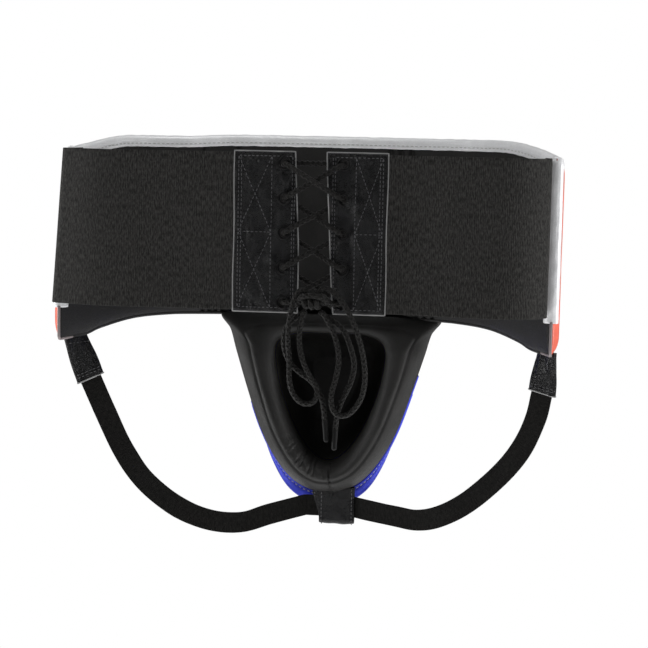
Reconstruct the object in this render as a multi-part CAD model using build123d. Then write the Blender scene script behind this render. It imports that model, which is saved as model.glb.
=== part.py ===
"""Laced groin protector: waist panel, laced back band, padded cup and leg straps.

Millimetres. +X is the wearer's left-to-right width as seen from behind, +Y is the way the
wearer faces, +Z is up. The origin lies in the waist opening, behind the middle of the lacing
gap and halfway up the back band.
"""
import math
import os

from build123d import *

# ---- driving dimensions -------------------------------------------------------------------

# waist panel, seen from above: three tangent arcs from the middle of the front to each end
PANEL_X = -12.0
FRONT_Y = 56.0
PLAN_ARCS = ((360.0, 16.0), (170.0, 28.0), (160.0, 17.0))
FOAM = 8.0
LEATHER = 1.2
GAP = 0.1

# waist panel, seen from the front
PANEL_TOP = 71.0
TOP_FLAT_X = 150.0
TOP_ARC_RADIUS = 104.0
TOP_ARC_SPAN = 58.0
LOWER_EDGE = ((100, -72), (125, -73.5), (150, -77.5), (172, -85), (184, -90), (207, -92))
BINDING_LEG = 7.0
END_BINDING_LEG = 6.0
END_BINDING_BOTTOM = -66.0
PIPING_RADIUS = 1.5

# back band
BAND_HALF = 60.0
ELASTIC = 1.6
BAND_OVERLAP_ANGLE = 4.5
BAND_TURN_RADIUS = 12.0
BAND_TURN_TO = 174.0

# lace tabs
TAB_Y = -66.8
TAB_INNER_X = 12.8
TAB_OUTER_X = {-1: 61.0, 1: 56.0}
TAB_HALF = 61.0
TAB_CORNER = 2.5
TAB_PULL_ROOM = 0.4
EYELET_X = 22.5
EYELET_TOP_Z = 52.5
EYELET_STEP = 26.5
EYELET_COUNT = 5
EYELET_BORE = 3.4
EYELET_WALL = 0.5
EYELET_FLANGE = 5.4

# lace, its knot and its bow
LACE = 3.8
LACE_LIFT = 4.7
KNOT = (2.0, -78.6, -52.0)
KNOT_RADIUS = 5.5
KNOT_LENGTH = 22.0
LOOP_SHIFT = -1.5
TAIL_SHIFT = 2.9
AGLET_LENGTH = 16.0
AGLET_RADIUS = 2.3

RIGHT_LOOP = (
    (5, -45.2), (9, -39.5), (17.5, -42.5), (25, -50.5), (32.5, -63.5), (38.5, -79), (42.5, -95.5),
    (43.5, -112), (40, -126.5), (30, -138), (19.5, -136), (17, -122), (21.5, -107.5),
    (23.5, -93), (20.5, -78), (14.5, -65.5), (9.5, -58.6),
)
LEFT_LOOP = (
    (-1, -45.0), (-5.5, -40.5), (-11, -46.5), (-14, -57.5), (-16, -70), (-16.2, -83),
    (-14.5, -96), (-14.8, -109), (-12.5, -121), (-4.5, -129.5), (5.5, -128), (8, -118),
    (1.5, -108), (-4.5, -97), (-7.5, -84), (-7.5, -71), (-4.5, -58.6),
)
RIGHT_TAIL = (
    (7, -58.4), (14.5, -64), (25.5, -71), (31, -84), (35, -98), (32.5, -112), (26, -124.5),
    (21.5, -137), (21, -149),
)
LEFT_TAIL = (
    (-3, -58.4), (-10, -63), (-18.5, -70.5), (-20.5, -83), (-17, -96), (-8.5, -105),
    (1.5, -111), (8.5, -120), (12, -131), (13, -143),
)

# cup: each outline is half of a symmetrical loop in the XZ plane, about its own middle CUP_X
CUP_X = 2.5
RIM_JOINT_Y = 46.0
RIM_TOP_Y = 39.0
RIM_LEAN = 9.0
RIM_TOP_Z = -72.6
RIM_OUTLINE = (
    (0, -73.8), (55, -73.8), (82, -80), (79.5, -103), (69, -135), (57.5, -168), (44.5, -193),
    (29.5, -211), (13.5, -219.5), (0, -221),
)
WELL_OUTLINE = (
    (0, -89.5), (30, -90.5), (45, -101), (42.5, -130), (33, -158), (22.5, -178), (11.5, -191),
    (0, -196),
)
DOME_OUTLINE = (
    (0, -34), (44, -38), (70, -54), (81, -82), (77, -108), (67.5, -138), (57, -170),
    (46, -199), (33, -220), (15.5, -232), (0, -235),
)
DOME_STEPS = ((46.0, 1.0), (78.0, 0.955), (104.0, 0.80), (119.0, 0.50))
WELL_STEPS = ((46.0, 1.0), (72.0, 0.93), (92.0, 0.76), (104.0, 0.46))
DOME_CENTRE_Z = -128.0
WELL_CENTRE_Z = -140.0
COVER = 1.6
SHELL = 2.6
PLY_GAP = 0.05

# keeper and leg straps
KEEPER_X = 5.0
KEEPER_Y = 37.0
KEEPER_HALF = 16.5
KEEPER_ROOM = 6.0
KEEPER_WALL = 1.5
KEEPER_BOTTOM = -254.0
KEEPER_REACH = -205.0
STRAP_WIDTH = 19.6
STRAP = 1.8
MOUTH_GAP = 3.2
MOUTH_Z = -232.6
TAB_MOUTH = {-1: (-185.0, -16.0, -124.0), 1: (177.0, -24.0, -121.0)}
STRAP_POINTS = {
    -1: ((-43, -240), (-66, -246.5), (-92, -243.5), (-117.5, -231.5), (-142, -210), (-159, -184),
         (-172.5, -154)),
    1: ((60, -235.5), (80, -236.5), (99, -230.5), (121, -216), (145, -192), (162, -168.5),
        (172.5, -143)),
}
STRAP_TAB_TOP_Z = -92.6
STRAP_TAB_WIDTH = 22.6
STRAP_TAB_WALL = 1.3
STRAP_TAB_END_ANGLE = {-1: 10.0, 1: 6.5}

BIG = 400.0
SIDES = (("left", -1), ("right", 1))
OUT = "parts"


# ---- shared helpers -----------------------------------------------------------------------

def save(node, shape):
    """Write one node's solids to its STEP file."""
    solids = shape.solids()
    export_step(Compound(children=list(solids)) if len(solids) > 1 else solids[0],
                os.path.join(OUT, node + ".step"))
    print(f"{node:24s} solids {len(solids)}  volume {sum(s.volume for s in solids):10.1f}")


def box_between(low, high):
    """A block from one corner to the opposite one."""
    size = [h - l for l, h in zip(low, high)]
    centre = [(h + l) / 2 for l, h in zip(low, high)]
    return Pos(*centre) * Box(*size)


def half_space(side):
    """Everything on one side of the middle plane X = 0."""
    return box_between((min(0, side * BIG), -BIG, -BIG), (max(0, side * BIG), BIG, BIG))


def plan_run(offset, side):
    """One side's plan line, this far outside the foam's middle, as tangent arcs."""
    point, heading, arcs = (PANEL_X, FRONT_Y + offset), (side, 0), []
    for radius, angle in PLAN_ARCS:
        arc = JernArc(start=point, tangent=heading, radius=radius + offset, arc_size=-side * angle)
        arcs.append(arc)
        point, heading = arc @ 1, arc % 1
    return arcs


def plan_end(offset, side, back_angle=0.0):
    """A point of the plan line near its end, and the line's heading there."""
    arc = plan_run(offset, side)[-1]
    where = 1 - back_angle / PLAN_ARCS[-1][1]
    return arc @ where, arc % where


def ring_face(inner, outer, closing=None):
    """The panel's plan between two offsets, or the filled plan inside the outer one."""
    edges = []
    for side in (-1, 1):
        edges += plan_run(outer, side)
    ends = [plan_end(outer, side)[0] for side in (-1, 1)]
    if closing is not None:
        corners = [(end.X, closing) for end in ends]
        edges += [Line(ends[0], corners[0]), Line(corners[0], corners[1]), Line(corners[1], ends[1])]
        return make_face(edges)
    for side, end in zip((-1, 1), ends):
        edges += plan_run(inner, side)
        edges.append(Line(end, plan_end(inner, side)[0]))
    return make_face(edges)


def upright(face, low, high):
    """A plan face made into a solid between two heights."""
    return Pos(0, 0, low) * extrude(face, high - low)


def front_profile(top_drop, lift=0.0):
    """The panel's outline seen from the front, as a block through the whole object."""
    top = PANEL_TOP - top_drop
    radius = TOP_ARC_RADIUS - top_drop
    angle = math.degrees(math.asin(TOP_ARC_SPAN / TOP_ARC_RADIUS))
    lower = [(x, z + lift) for x, z in LOWER_EDGE]
    edges = [Line((-TOP_FLAT_X, top), (TOP_FLAT_X, top)), Line((-lower[0][0], lower[0][1]), lower[0])]
    for side in (-1, 1):
        arc = JernArc(start=(side * TOP_FLAT_X, top), tangent=(side, 0), radius=radius,
                      arc_size=-side * angle)
        points = [(side * x, z) for x, z in lower]
        curve = Spline(*points, tangents=((side, 0), (side, 0)))
        edges += [arc, curve, Line(arc @ 1, points[-1])]
    face = Plane.XZ * make_face(edges)
    return Pos(PANEL_X, 0, 0) * extrude(face, BIG, both=True)


def layer(inner, outer, top_drop=0.0, lift=0.0):
    """A layer of the waist panel between two offsets from the foam's middle."""
    return upright(ring_face(inner, outer), -110, 90) & front_profile(top_drop, lift)


def outline_wire(points, inset, scale, centre_z, y):
    """A closed symmetrical outline at one depth, scaled about its centre and then inset."""
    half = []
    for x, z in points:
        dx, dz = x, z - centre_z
        length = math.hypot(dx, dz)
        keep = scale * (1 - inset / length)
        half.append((dx * keep, centre_z + dz * keep))
    mirrored = [(-x, z) for x, z in reversed(half[1:-1])]
    ring = Spline(*(half + mirrored), periodic=True)
    return Plane.XZ.offset(-y) * ring


def bowl(points, steps, centre_z, inset):
    """A lofted dome whose flat open side is its first step."""
    faces = []
    for i, (y, scale) in enumerate(steps):
        depth = y if i == 0 else y - inset * i / (len(steps) - 1)
        faces.append(make_face(outline_wire(points, inset, scale, centre_z, depth)))
    return loft(faces)


# ---- waist panel --------------------------------------------------------------------------

def waist_panel():
    half = FOAM / 2
    save("panel_foam", layer(-half, half, LEATHER, LEATHER))
    save("panel_cover", layer(half, half + LEATHER))
    save("panel_lining", layer(-half - LEATHER, -half))
    face = half + LEATHER + GAP
    shell = layer(-face - LEATHER, face + LEATHER, -LEATHER - GAP)
    body = layer(-face, face, -GAP)
    strip = shell - body - layer(-30, 30, BINDING_LEG)
    clear = [end_zone(side) for _, side in SIDES]
    save("top_binding", strip - clear[0] - clear[1])
    for name, side in SIDES:
        save(name + "_end_binding", end_binding(side, face))
        save(name + "_end_piping", end_piping(side))


def end_frame(side):
    """The upright plane across the panel's end: local +Z points out of the end."""
    point, heading = plan_end(0, side)
    return Plane(origin=(point.X, point.Y, 0), x_dir=(-heading.Y * side, heading.X * side, 0),
                 z_dir=(heading.X, heading.Y, 0))


def end_zone(side):
    """The space that the end binding takes, kept free of the top binding."""
    return end_frame(side) * Pos(0, 0, 20 - END_BINDING_LEG) * Box(60, 400, 40)


def end_binding(side, face):
    """Folded strip over the panel's upright end, from the top corner down past the band."""
    frame = end_frame(side)
    reach = 2 * (face + LEATHER)
    depth = END_BINDING_LEG + LEATHER
    outer = frame * Pos(0, 0, LEATHER + GAP - depth / 2) * Box(reach, 400, depth)
    outer &= front_profile(-LEATHER - GAP)
    outer &= box_between((-BIG, -BIG, END_BINDING_BOTTOM), (BIG, BIG, BIG))
    inner = frame * Pos(0, 0, GAP - 15) * Box(2 * face, 400, 30)
    inner &= front_profile(-GAP)
    return outer - inner - layer(-face, face, -GAP)


def end_piping(side):
    """Round piping on the end's edge below the binding."""
    frame = end_frame(side)
    low = LOWER_EDGE[-1][1] + PIPING_RADIUS
    high = END_BINDING_BOTTOM - GAP
    spot = frame.from_local_coords((0, 0, PIPING_RADIUS + GAP))
    return Pos(spot.X, spot.Y, (low + high) / 2) * Cylinder(PIPING_RADIUS, high - low)


# ---- back band and lace tabs --------------------------------------------------------------

def band_line(side):
    """The elastic's middle line from inside the panel's end round to the lace tab."""
    offset = -(FOAM / 2 + LEATHER + GAP + LEATHER + GAP + ELASTIC / 2)
    start, heading = plan_end(offset, side, BAND_OVERLAP_ANGLE)
    sewn = JernArc(start=start, tangent=heading, radius=PLAN_ARCS[-1][0] + offset,
                   arc_size=-side * BAND_OVERLAP_ANGLE)
    so_far = sum(angle for _, angle in PLAN_ARCS)
    turn = JernArc(start=sewn @ 1, tangent=sewn % 1, radius=BAND_TURN_RADIUS,
                   arc_size=-side * (BAND_TURN_TO - so_far))
    end = (side * (TAB_OUTER_X[side] + TAB_PULL_ROOM), TAB_Y)
    back = Spline(turn @ 1, end, tangents=(turn % 1, (-side, 0)))
    return [sewn, turn, back]


def back_band():
    for name, side in SIDES:
        line = Wire(band_line(side))
        start = Plane(origin=line @ 0, x_dir=(0, 0, 1), z_dir=line % 0)
        section = start * Rectangle(2 * BAND_HALF, ELASTIC)
        save(name + "_elastic", sweep(section, path=line))


def eyelet_heights():
    return [EYELET_TOP_Z - EYELET_STEP * i for i in range(EYELET_COUNT)]


def tab_plate(side, y_low, y_high, inset=0.0):
    """A lace tab's plate between two depths, with its holes."""
    width = TAB_OUTER_X[side] - TAB_INNER_X - 2 * inset
    middle = side * (TAB_OUTER_X[side] + TAB_INNER_X) / 2
    plate = RectangleRounded(width, 2 * (TAB_HALF - inset), TAB_CORNER)
    body = extrude(Plane.XZ.offset(-y_high) * Pos(middle, 0) * plate, y_high - y_low)
    return body - holes(side, EYELET_BORE + EYELET_WALL)


def holes(side, radius):
    bores = [Pos(side * EYELET_X, TAB_Y, z) * Rot(X=90) * Cylinder(radius, 40)
             for z in eyelet_heights()]
    return Part() + bores


def eyelets(side):
    """Five turned eyelets: a barrel through the tab with a thin flange on each face."""
    reach = ELASTIC / 2 + LEATHER
    rings = []
    for z in eyelet_heights():
        barrel = Cylinder(EYELET_BORE + EYELET_WALL, 2 * (reach + EYELET_WALL))
        flanges = [Pos(0, 0, s * (reach + EYELET_WALL / 2)) * Cylinder(EYELET_FLANGE, EYELET_WALL)
                   for s in (-1, 1)]
        ring = barrel + flanges - Cylinder(EYELET_BORE, 40)
        rings.append(Pos(side * EYELET_X, TAB_Y, z) * Rot(X=90) * ring)
    return Part() + rings


def lace_tabs():
    half = ELASTIC / 2
    for name, side in SIDES:
        save(name + "_tab_outer", tab_plate(side, TAB_Y - half - LEATHER, TAB_Y - half))
        save(name + "_tab_core", tab_plate(side, TAB_Y - half, TAB_Y + half, 1.5))
        save(name + "_tab_backing", tab_plate(side, TAB_Y + half, TAB_Y + half + LEATHER))
        save(name + "_eyelets", eyelets(side))


# ---- lace ---------------------------------------------------------------------------------

def corner_radii(points):
    """The largest radius that each corner's two runs leave room for."""
    radii = []
    for a, b, c in zip(points, points[1:], points[2:]):
        before, after = Vector(*b) - Vector(*a), Vector(*c) - Vector(*b)
        half_turn = math.radians(before.get_angle(after)) / 2
        radii.append(0.45 * min(before.length, after.length) / math.tan(half_turn))
    return radii


def tube(name, points, diameter):
    """A round cord along straight runs joined by tangent arcs."""
    radii = corner_radii(points)
    path = FilletPolyline(*points, radius=radii)
    section = Plane(origin=path @ 0, z_dir=path % 0) * Circle(diameter / 2)
    body = sweep(section, path=path)
    plain = math.pi * diameter ** 2 / 4 * path.length
    print(f"{name}: length {path.length:.1f}, radii {' '.join(f'{r:.0f}' for r in radii)}, "
          f"volume {body.volume:.0f} for {plain:.0f}")
    return body


def threaded_points():
    """The lace's route through both rows of holes, from the knot to the knot.

    Each half starts at the back of its own top hole. It goes over the front to the second
    hole, then from behind each tab over the opposite tab's edge, and comes up through the last
    hole from behind.
    """
    front, back = -LACE_LIFT, LACE_LIFT
    z = eyelet_heights()
    middle_depth = {-1: (-7.5, -2.3, 2.3, 2.6), 1: (-3.3, 2.3, -2.3, 6.9)}
    halves = []
    for first in (-1, 1):
        side, points = first, [(first * EYELET_X, back, z[0]), (first * EYELET_X, front, z[0])]
        for i, depth in enumerate(middle_depth[first]):
            fall = z[i] - z[i + 1]
            from_back, to_back = i > 0, i == EYELET_COUNT - 2
            if from_back:
                points.append((side * 11.5, back - 0.1, z[i] - fall * 0.26))
            points.append((0, depth, (z[i] + z[i + 1]) / 2))
            if to_back:
                points.append((-side * 11.5, back + 0.1, z[i] - fall * 0.76))
            elif from_back:
                points.append((-side * 11.5, front - 0.2, z[i] - fall * 0.74))
            side = -side
            arrive, leave = (back, front) if to_back else (front, back)
            points += [(side * EYELET_X, arrive, z[i + 1]), (side * EYELET_X, leave, z[i + 1])]
        points.append((KNOT[0] + side * 6, front - 0.4, KNOT[2]))
        halves.append(points)
    route = list(reversed(halves[0])) + [(0, back + 0.5, z[0])] + halves[1]
    return [(x, TAB_Y + y, height) for x, y, height in route]


def bow_points(flat, shift):
    """A bow cord's route in its own upright plane."""
    return [(x, KNOT[1] + shift, z) for x, z in flat]


def aglet(end, before):
    """A hard sleeve on the last stretch of a tail."""
    tip, behind = Vector(*end), Vector(*before)
    away = (tip - behind).normalized()
    frame = Plane(origin=tip, z_dir=away)
    body = frame * Pos(0, 0, AGLET_LENGTH / 2) * Cylinder(AGLET_RADIUS, AGLET_LENGTH)
    return fillet(body.edges().filter_by(GeomType.CIRCLE), 0.6)


def lace():
    save("threaded_lace", tube("threaded_lace", threaded_points(), LACE))
    knot = Rot(Y=90) * Cylinder(KNOT_RADIUS, KNOT_LENGTH)
    knot = fillet(knot.edges().filter_by(GeomType.CIRCLE), KNOT_RADIUS * 0.8)
    save("lace_knot", Pos(*KNOT) * knot)
    for name, flat, shift in (("left_bow_loop", LEFT_LOOP, LOOP_SHIFT),
                              ("right_bow_loop", RIGHT_LOOP, LOOP_SHIFT),
                              ("left_bow_tail", LEFT_TAIL, TAIL_SHIFT),
                              ("right_bow_tail", RIGHT_TAIL, TAIL_SHIFT)):
        points = bow_points(flat, shift)
        save(name, tube(name, points, LACE))
        if shift == TAIL_SHIFT:
            save(name.replace("bow_tail", "aglet"), aglet(points[-1], points[-2]))


# ---- cup ----------------------------------------------------------------------------------

def inside_ring():
    """The waist panel and everything inside it, above its lower edge."""
    face = FOAM / 2 + LEATHER + GAP
    return upright(ring_face(None, face, -30.0), LOWER_EDGE[0][1] - GAP, 90)


def rim_block(outer_inset, well_inset, y_shift):
    """The padded rim between the cup's outline and its well, leaning towards the wearer."""
    outer = make_face(outline_wire(RIM_OUTLINE, outer_inset, 1, DOME_CENTRE_Z, RIM_JOINT_Y))
    well = make_face(outline_wire(WELL_OUTLINE, well_inset, 1, WELL_CENTRE_Z, RIM_JOINT_Y))
    ring = extrude(outer - well, 60, dir=(0, -1, 0))
    cut = Pos(0, RIM_TOP_Y + y_shift, RIM_TOP_Z) * Rot(X=-RIM_LEAN) * Pos(0, 100, 0)
    return ring & cut * Box(400, 200, 500)


def cup():
    place = Pos(CUP_X, 0, 0)
    pad = rim_block(LEATHER, -LEATHER, LEATHER)
    save("rim_pad", place * pad)
    skin = rim_block(0, 0, 0) - pad
    for name, side in SIDES:
        save(name + "_rim_cover", place * (skin & half_space(side)))

    ring = Pos(-CUP_X, 0, 0) * inside_ring()
    dome = bowl(DOME_OUTLINE, DOME_STEPS, DOME_CENTRE_Z, 0)
    dome_inner = bowl(DOME_OUTLINE, DOME_STEPS, DOME_CENTRE_Z, COVER)
    well = bowl(WELL_OUTLINE, WELL_STEPS, WELL_CENTRE_Z, 0)
    shell_inner = bowl(WELL_OUTLINE, WELL_STEPS, WELL_CENTRE_Z, -LEATHER)
    shell_outer = bowl(WELL_OUTLINE, WELL_STEPS, WELL_CENTRE_Z, -LEATHER - SHELL)
    cover = dome - dome_inner - ring
    lining = shell_inner - well
    for name, side in SIDES:
        save(name + "_cup_cover", place * (cover & half_space(side)))
        save(name + "_well_lining", place * (lining & half_space(side)))
    save("cup_foam", place * (dome_inner - shell_outer - ring))
    save("cup_shell", place * (shell_outer - shell_inner))


# ---- leg straps ---------------------------------------------------------------------------

def keeper():
    """A strip folded under the straps, with both legs sewn up against the rim."""
    inner, outer = KEEPER_ROOM / 2, KEEPER_ROOM / 2 + KEEPER_WALL
    width = 2 * KEEPER_HALF
    left, right, high = KEEPER_X - KEEPER_HALF, KEEPER_X + KEEPER_HALF, KEEPER_REACH
    straight = KEEPER_BOTTOM + outer
    loop = Part()
    for reach, sign in ((outer, 1), (inner, -1)):
        block = box_between((left, KEEPER_Y - reach, straight), (right, KEEPER_Y + reach, high))
        bend = Pos(KEEPER_X, KEEPER_Y, straight) * Rot(Y=90) * Cylinder(reach, width)
        loop = loop + block + bend if sign > 0 else loop - block - bend
    rim = extrude(make_face(outline_wire(RIM_OUTLINE, -PLY_GAP, 1, DOME_CENTRE_Z, 0)), -80, both=True)
    return loop - Pos(CUP_X, 0, 0) * rim


def keeper_mouth(side):
    """Where a leg strap leaves the keeper."""
    return Vector(KEEPER_X + side * (KEEPER_HALF + MOUTH_GAP), KEEPER_Y, MOUTH_Z)


def strap_plane(side):
    """The upright plane through the strap tab's mouth and the keeper's mouth."""
    start = keeper_mouth(side)
    span = Vector(*TAB_MOUTH[side]) - start
    along = Vector(span.X, span.Y, 0).normalized()
    return Plane(origin=(start.X, start.Y, 0), x_dir=along, z_dir=along.cross(Vector(0, 0, 1)))


def strap_line(side):
    """The strap's middle line in its own plane, from the keeper's mouth to the tab's."""
    start = keeper_mouth(side)
    x, y, z = TAB_MOUTH[side]
    stretch = math.hypot(x - start.X, y - start.Y) / (x - start.X)
    points = [(0, start.Z)]
    points += [((px - start.X) * stretch, pz) for px, pz in STRAP_POINTS[side]]
    points.append(((x - start.X) * stretch, z))
    return Spline(*points)


def strap_tab(side, width, thickness):
    """A flat sleeve from the panel's lower edge, turning to face the strap's own plane."""
    plane = strap_plane(side)
    line = strap_line(side)
    heading = line % 1
    mouth = plane.from_local_coords(((line @ 1).X, (line @ 1).Y, 0))
    upward = plane.x_dir * heading.X + plane.y_dir * heading.Y
    across = upward.cross(plane.z_dir)
    top, along = plan_end(0, side, STRAP_TAB_END_ANGLE[side])
    low = Plane(origin=mouth + upward * MOUTH_GAP, x_dir=across, z_dir=upward)
    flat = Vector(along.X, along.Y, 0)
    if flat.dot(across) < 0:
        flat = -flat
    high = Plane(origin=(top.X, top.Y, STRAP_TAB_TOP_Z), x_dir=flat, z_dir=(0, 0, 1))
    return loft([low * Rectangle(width, thickness), high * Rectangle(width, thickness)], ruled=True)


def leg_straps():
    save("keeper", keeper())
    middle = Box(2 * KEEPER_HALF - MOUTH_GAP, STRAP, STRAP_WIDTH)
    save("keeper_strap", Pos(KEEPER_X, KEEPER_Y, MOUTH_Z) * middle)
    for name, side in SIDES:
        ribbon = trace(strap_line(side), line_width=STRAP_WIDTH)
        save(name + "_leg_strap", strap_plane(side) * extrude(ribbon, STRAP / 2, both=True))
        end = strap_tab(side, STRAP_WIDTH, STRAP)
        sleeve = strap_tab(side, STRAP_TAB_WIDTH, STRAP + 2 * STRAP_TAB_WALL) - end
        save(name + "_strap_end", end)
        save(name + "_strap_tab", sleeve)


def main():
    os.makedirs(OUT, exist_ok=True)
    waist_panel()
    back_band()
    lace_tabs()
    lace()
    cup()
    leg_straps()


main()
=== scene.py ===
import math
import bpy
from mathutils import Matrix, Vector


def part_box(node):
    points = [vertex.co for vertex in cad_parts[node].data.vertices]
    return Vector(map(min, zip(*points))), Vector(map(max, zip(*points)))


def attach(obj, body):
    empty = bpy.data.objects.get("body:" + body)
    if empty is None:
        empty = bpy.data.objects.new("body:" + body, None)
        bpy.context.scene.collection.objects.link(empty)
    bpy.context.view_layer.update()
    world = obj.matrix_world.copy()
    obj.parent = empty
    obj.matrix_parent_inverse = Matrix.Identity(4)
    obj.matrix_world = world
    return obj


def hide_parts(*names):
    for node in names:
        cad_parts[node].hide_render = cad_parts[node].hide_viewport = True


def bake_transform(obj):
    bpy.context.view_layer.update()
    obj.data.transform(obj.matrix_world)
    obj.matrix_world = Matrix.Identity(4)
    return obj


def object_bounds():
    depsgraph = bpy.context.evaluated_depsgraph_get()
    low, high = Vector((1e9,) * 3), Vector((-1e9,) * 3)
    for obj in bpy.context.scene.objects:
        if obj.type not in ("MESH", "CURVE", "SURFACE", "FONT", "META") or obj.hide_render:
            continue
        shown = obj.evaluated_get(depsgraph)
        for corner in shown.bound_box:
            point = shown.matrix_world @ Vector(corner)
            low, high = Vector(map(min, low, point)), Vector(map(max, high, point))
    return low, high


bl_info = {
    "name": "Laced groin protector",
    "version": (1, 0, 0),
    "blender": (4, 5, 0),
    "location": "3D View > Sidebar > Protector",
    "description": "Leather, elastic, lace and padding over the packed model of a groin protector",
    "category": "Object",
}

import bmesh
import bpy
from bpy.props import FloatProperty, FloatVectorProperty, IntProperty, PointerProperty
from mathutils import Quaternion, Vector, noise

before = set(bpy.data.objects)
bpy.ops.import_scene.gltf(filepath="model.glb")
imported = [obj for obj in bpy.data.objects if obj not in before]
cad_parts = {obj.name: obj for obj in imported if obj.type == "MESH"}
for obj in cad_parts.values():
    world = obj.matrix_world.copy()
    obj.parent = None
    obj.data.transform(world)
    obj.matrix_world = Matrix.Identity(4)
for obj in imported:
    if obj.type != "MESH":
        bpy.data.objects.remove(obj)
CAD_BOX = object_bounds()

# ---- shape of the frame, in metres -----------------------------------------------------------

ROOT = "protector"
SIDES = (("left", -1), ("right", 1))
BACKWARD = Vector((0, -1, 0))
PANEL_X = -0.012
FRONT_Y = 0.056
PLAN_ARCS = ((0.360, math.radians(16)), (0.170, math.radians(28)), (0.160, math.radians(13)),
             (0.020, math.radians(38)))
HALF_RUN = sum(radius * angle for radius, angle in PLAN_ARCS)
HALF_PAD = 0.0052
PANEL_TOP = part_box("panel_cover")[1][2]
TOP_FLAT_X = 0.150
TOP_ARC_RADIUS = 0.104
LOWER_EDGE = (
    (0.0, -0.0755), (0.095, -0.0755), (0.122, -0.0760), (0.148, -0.0785), (0.172, -0.085),
    (0.184, -0.090), (0.207, -0.092),
)
BINDING_FOOT = -0.066
BINDING_LEATHER = 0.0009
PIPING_RADIUS = 0.0012
LOWER_ROLL_RADIUS = 0.0019
END_PUFF = 0.0042
PLEAT_DRAW = 0.0034

# how the panel's ends stand: the left one's slope and how far it is drawn in at mid height, and
# how far the right one is drawn in
LEAN = 0.070
LEAN_MIDDLE = 0.0090
RIGHT_DRAWN_IN = 0.0030

BAND_OFFSET = -0.0064
BAND_OVERLAP = 0.0125
BAND_BULGE = {-1: 0.0076, 1: 0.0022}
BAND_HALF = 0.060
ELASTIC_THICK = 0.0016

TAB_Y = -0.0668
TAB_INNER_X = 0.0128
TAB_OUTER_X = {-1: 0.061, 1: 0.056}
TAB_HALF = 0.061
TAB_FACE = 0.0020
TAB_EDGE = 0.0004
TAB_EDGE_ROUND = 0.0022
TAB_LEATHER = 0.0010
CUT_EDGE_RADIUS = 0.0006
FINE_STITCH = {"length": 0.0022, "radius": 0.0003}
EYELET_X = 0.0225
EYELET_TOP_Z = 0.0525
EYELET_STEP = 0.0265
EYELET_COUNT = 5
EYELET_BORE = 0.0034
EYELET_FLANGE = 0.0054

LACE_LIFT = 0.0047
KNOT = Vector((0.002, -0.0786, -0.052))
LOOP_Y = KNOT.y - 0.0015
TAIL_Y = KNOT.y + 0.0029
AGLET_LENGTH = 0.016
AGLET_RADIUS = 0.0020

BRAID = 0.10
BRAID_PITCH = 0.0042
BRAID_TURNS = 4

CUP_X = 0.0025
RIM_JOINT_Y = 0.046
RIM_TOP_Y = 0.039
RIM_TOP_Z = -0.0726
RIM_LEAN = math.tan(math.radians(9))
DOME_CENTRE = Vector((CUP_X, -0.128))
WELL_CENTRE = Vector((CUP_X, -0.140))
RIM_OUTLINE = (
    (0, -0.0738), (0.060, -0.0738), (0.0905, -0.0752), (0.0835, -0.088), (0.0785, -0.105), (0.069, -0.135),
    (0.0575, -0.168), (0.0445, -0.193), (0.0295, -0.211), (0.0135, -0.2195), (0, -0.221),
)
WELL_OUTLINE = (
    (0, -0.0895), (0.030, -0.0905), (0.045, -0.101), (0.0425, -0.130), (0.033, -0.158),
    (0.0225, -0.178), (0.0115, -0.191), (0, -0.196),
)
DOME_OUTLINE = (
    (0, -0.034), (0.044, -0.038), (0.070, -0.054), (0.081, -0.082), (0.077, -0.108),
    (0.0675, -0.138), (0.057, -0.170), (0.046, -0.199), (0.033, -0.220), (0.0155, -0.232),
    (0, -0.235),
)
# from the open edge to the bottom: how far towards the front, and what share of the outline
DOME_STEPS = ((0.046, 1.0), (0.078, 0.955), (0.104, 0.80), (0.119, 0.50))
WELL_STEPS = ((0.046, 1.0), (0.072, 0.93), (0.092, 0.76), (0.104, 0.46))
DOME_DEPTH = 0.1195
WELL_DEPTH = 0.1046
BOWL_SCALE = 0.08
PANEL_FOOT_Z = -0.0745
WELT_RADIUS = 0.0015
# shares of the way round the rim, from the top middle down the right side
RIM_SEAM = 0.490
RIM_GATHERS = 0.545

KEEPER_X = 0.005
KEEPER_Y = 0.037
KEEPER_HALF = 0.0145
KEEPER_SHIFT = 0.0068
KEEPER_REACH = 0.00375
KEEPER_BOTTOM = -0.2470
KEEPER_TOP = -0.2165
KEEPER_LEATHER = 0.0014
STRAP_WIDTH = 0.0172
STRAP_THICK = 0.0018
MOUTH_X = 0.0197
MOUTH_Z = -0.2326
TAB_MOUTH = {-1: Vector((-0.185, -0.016, -0.124)), 1: Vector((0.177, -0.024, -0.121))}
STRAP_POINTS = {
    -1: ((-0.043, -0.240), (-0.066, -0.2465), (-0.092, -0.2435), (-0.1175, -0.2315), (-0.142, -0.210),
         (-0.159, -0.184), (-0.1725, -0.154)),
    1: ((0.060, -0.2355), (0.080, -0.2365), (0.099, -0.2305), (0.121, -0.216), (0.145, -0.192),
        (0.162, -0.1685), (0.1725, -0.143)),
}
STRAP_TAB_TOP_Z = -0.0926
STRAP_TAB_WIDTH = 0.0226
STRAP_TAB_THICK = 0.0044
STRAP_TAB_FROM_END = {-1: 0.0265, 1: 0.017}


# ---- settings --------------------------------------------------------------------------------

def length(name, description, default, low, high, precision=4):
    return FloatProperty(name=name, description=description, default=default, min=low, max=high,
                         unit="LENGTH", precision=precision)


def tint(name, description, default):
    return FloatVectorProperty(name=name, description=description, subtype="COLOR", size=3,
                               default=default)


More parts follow.
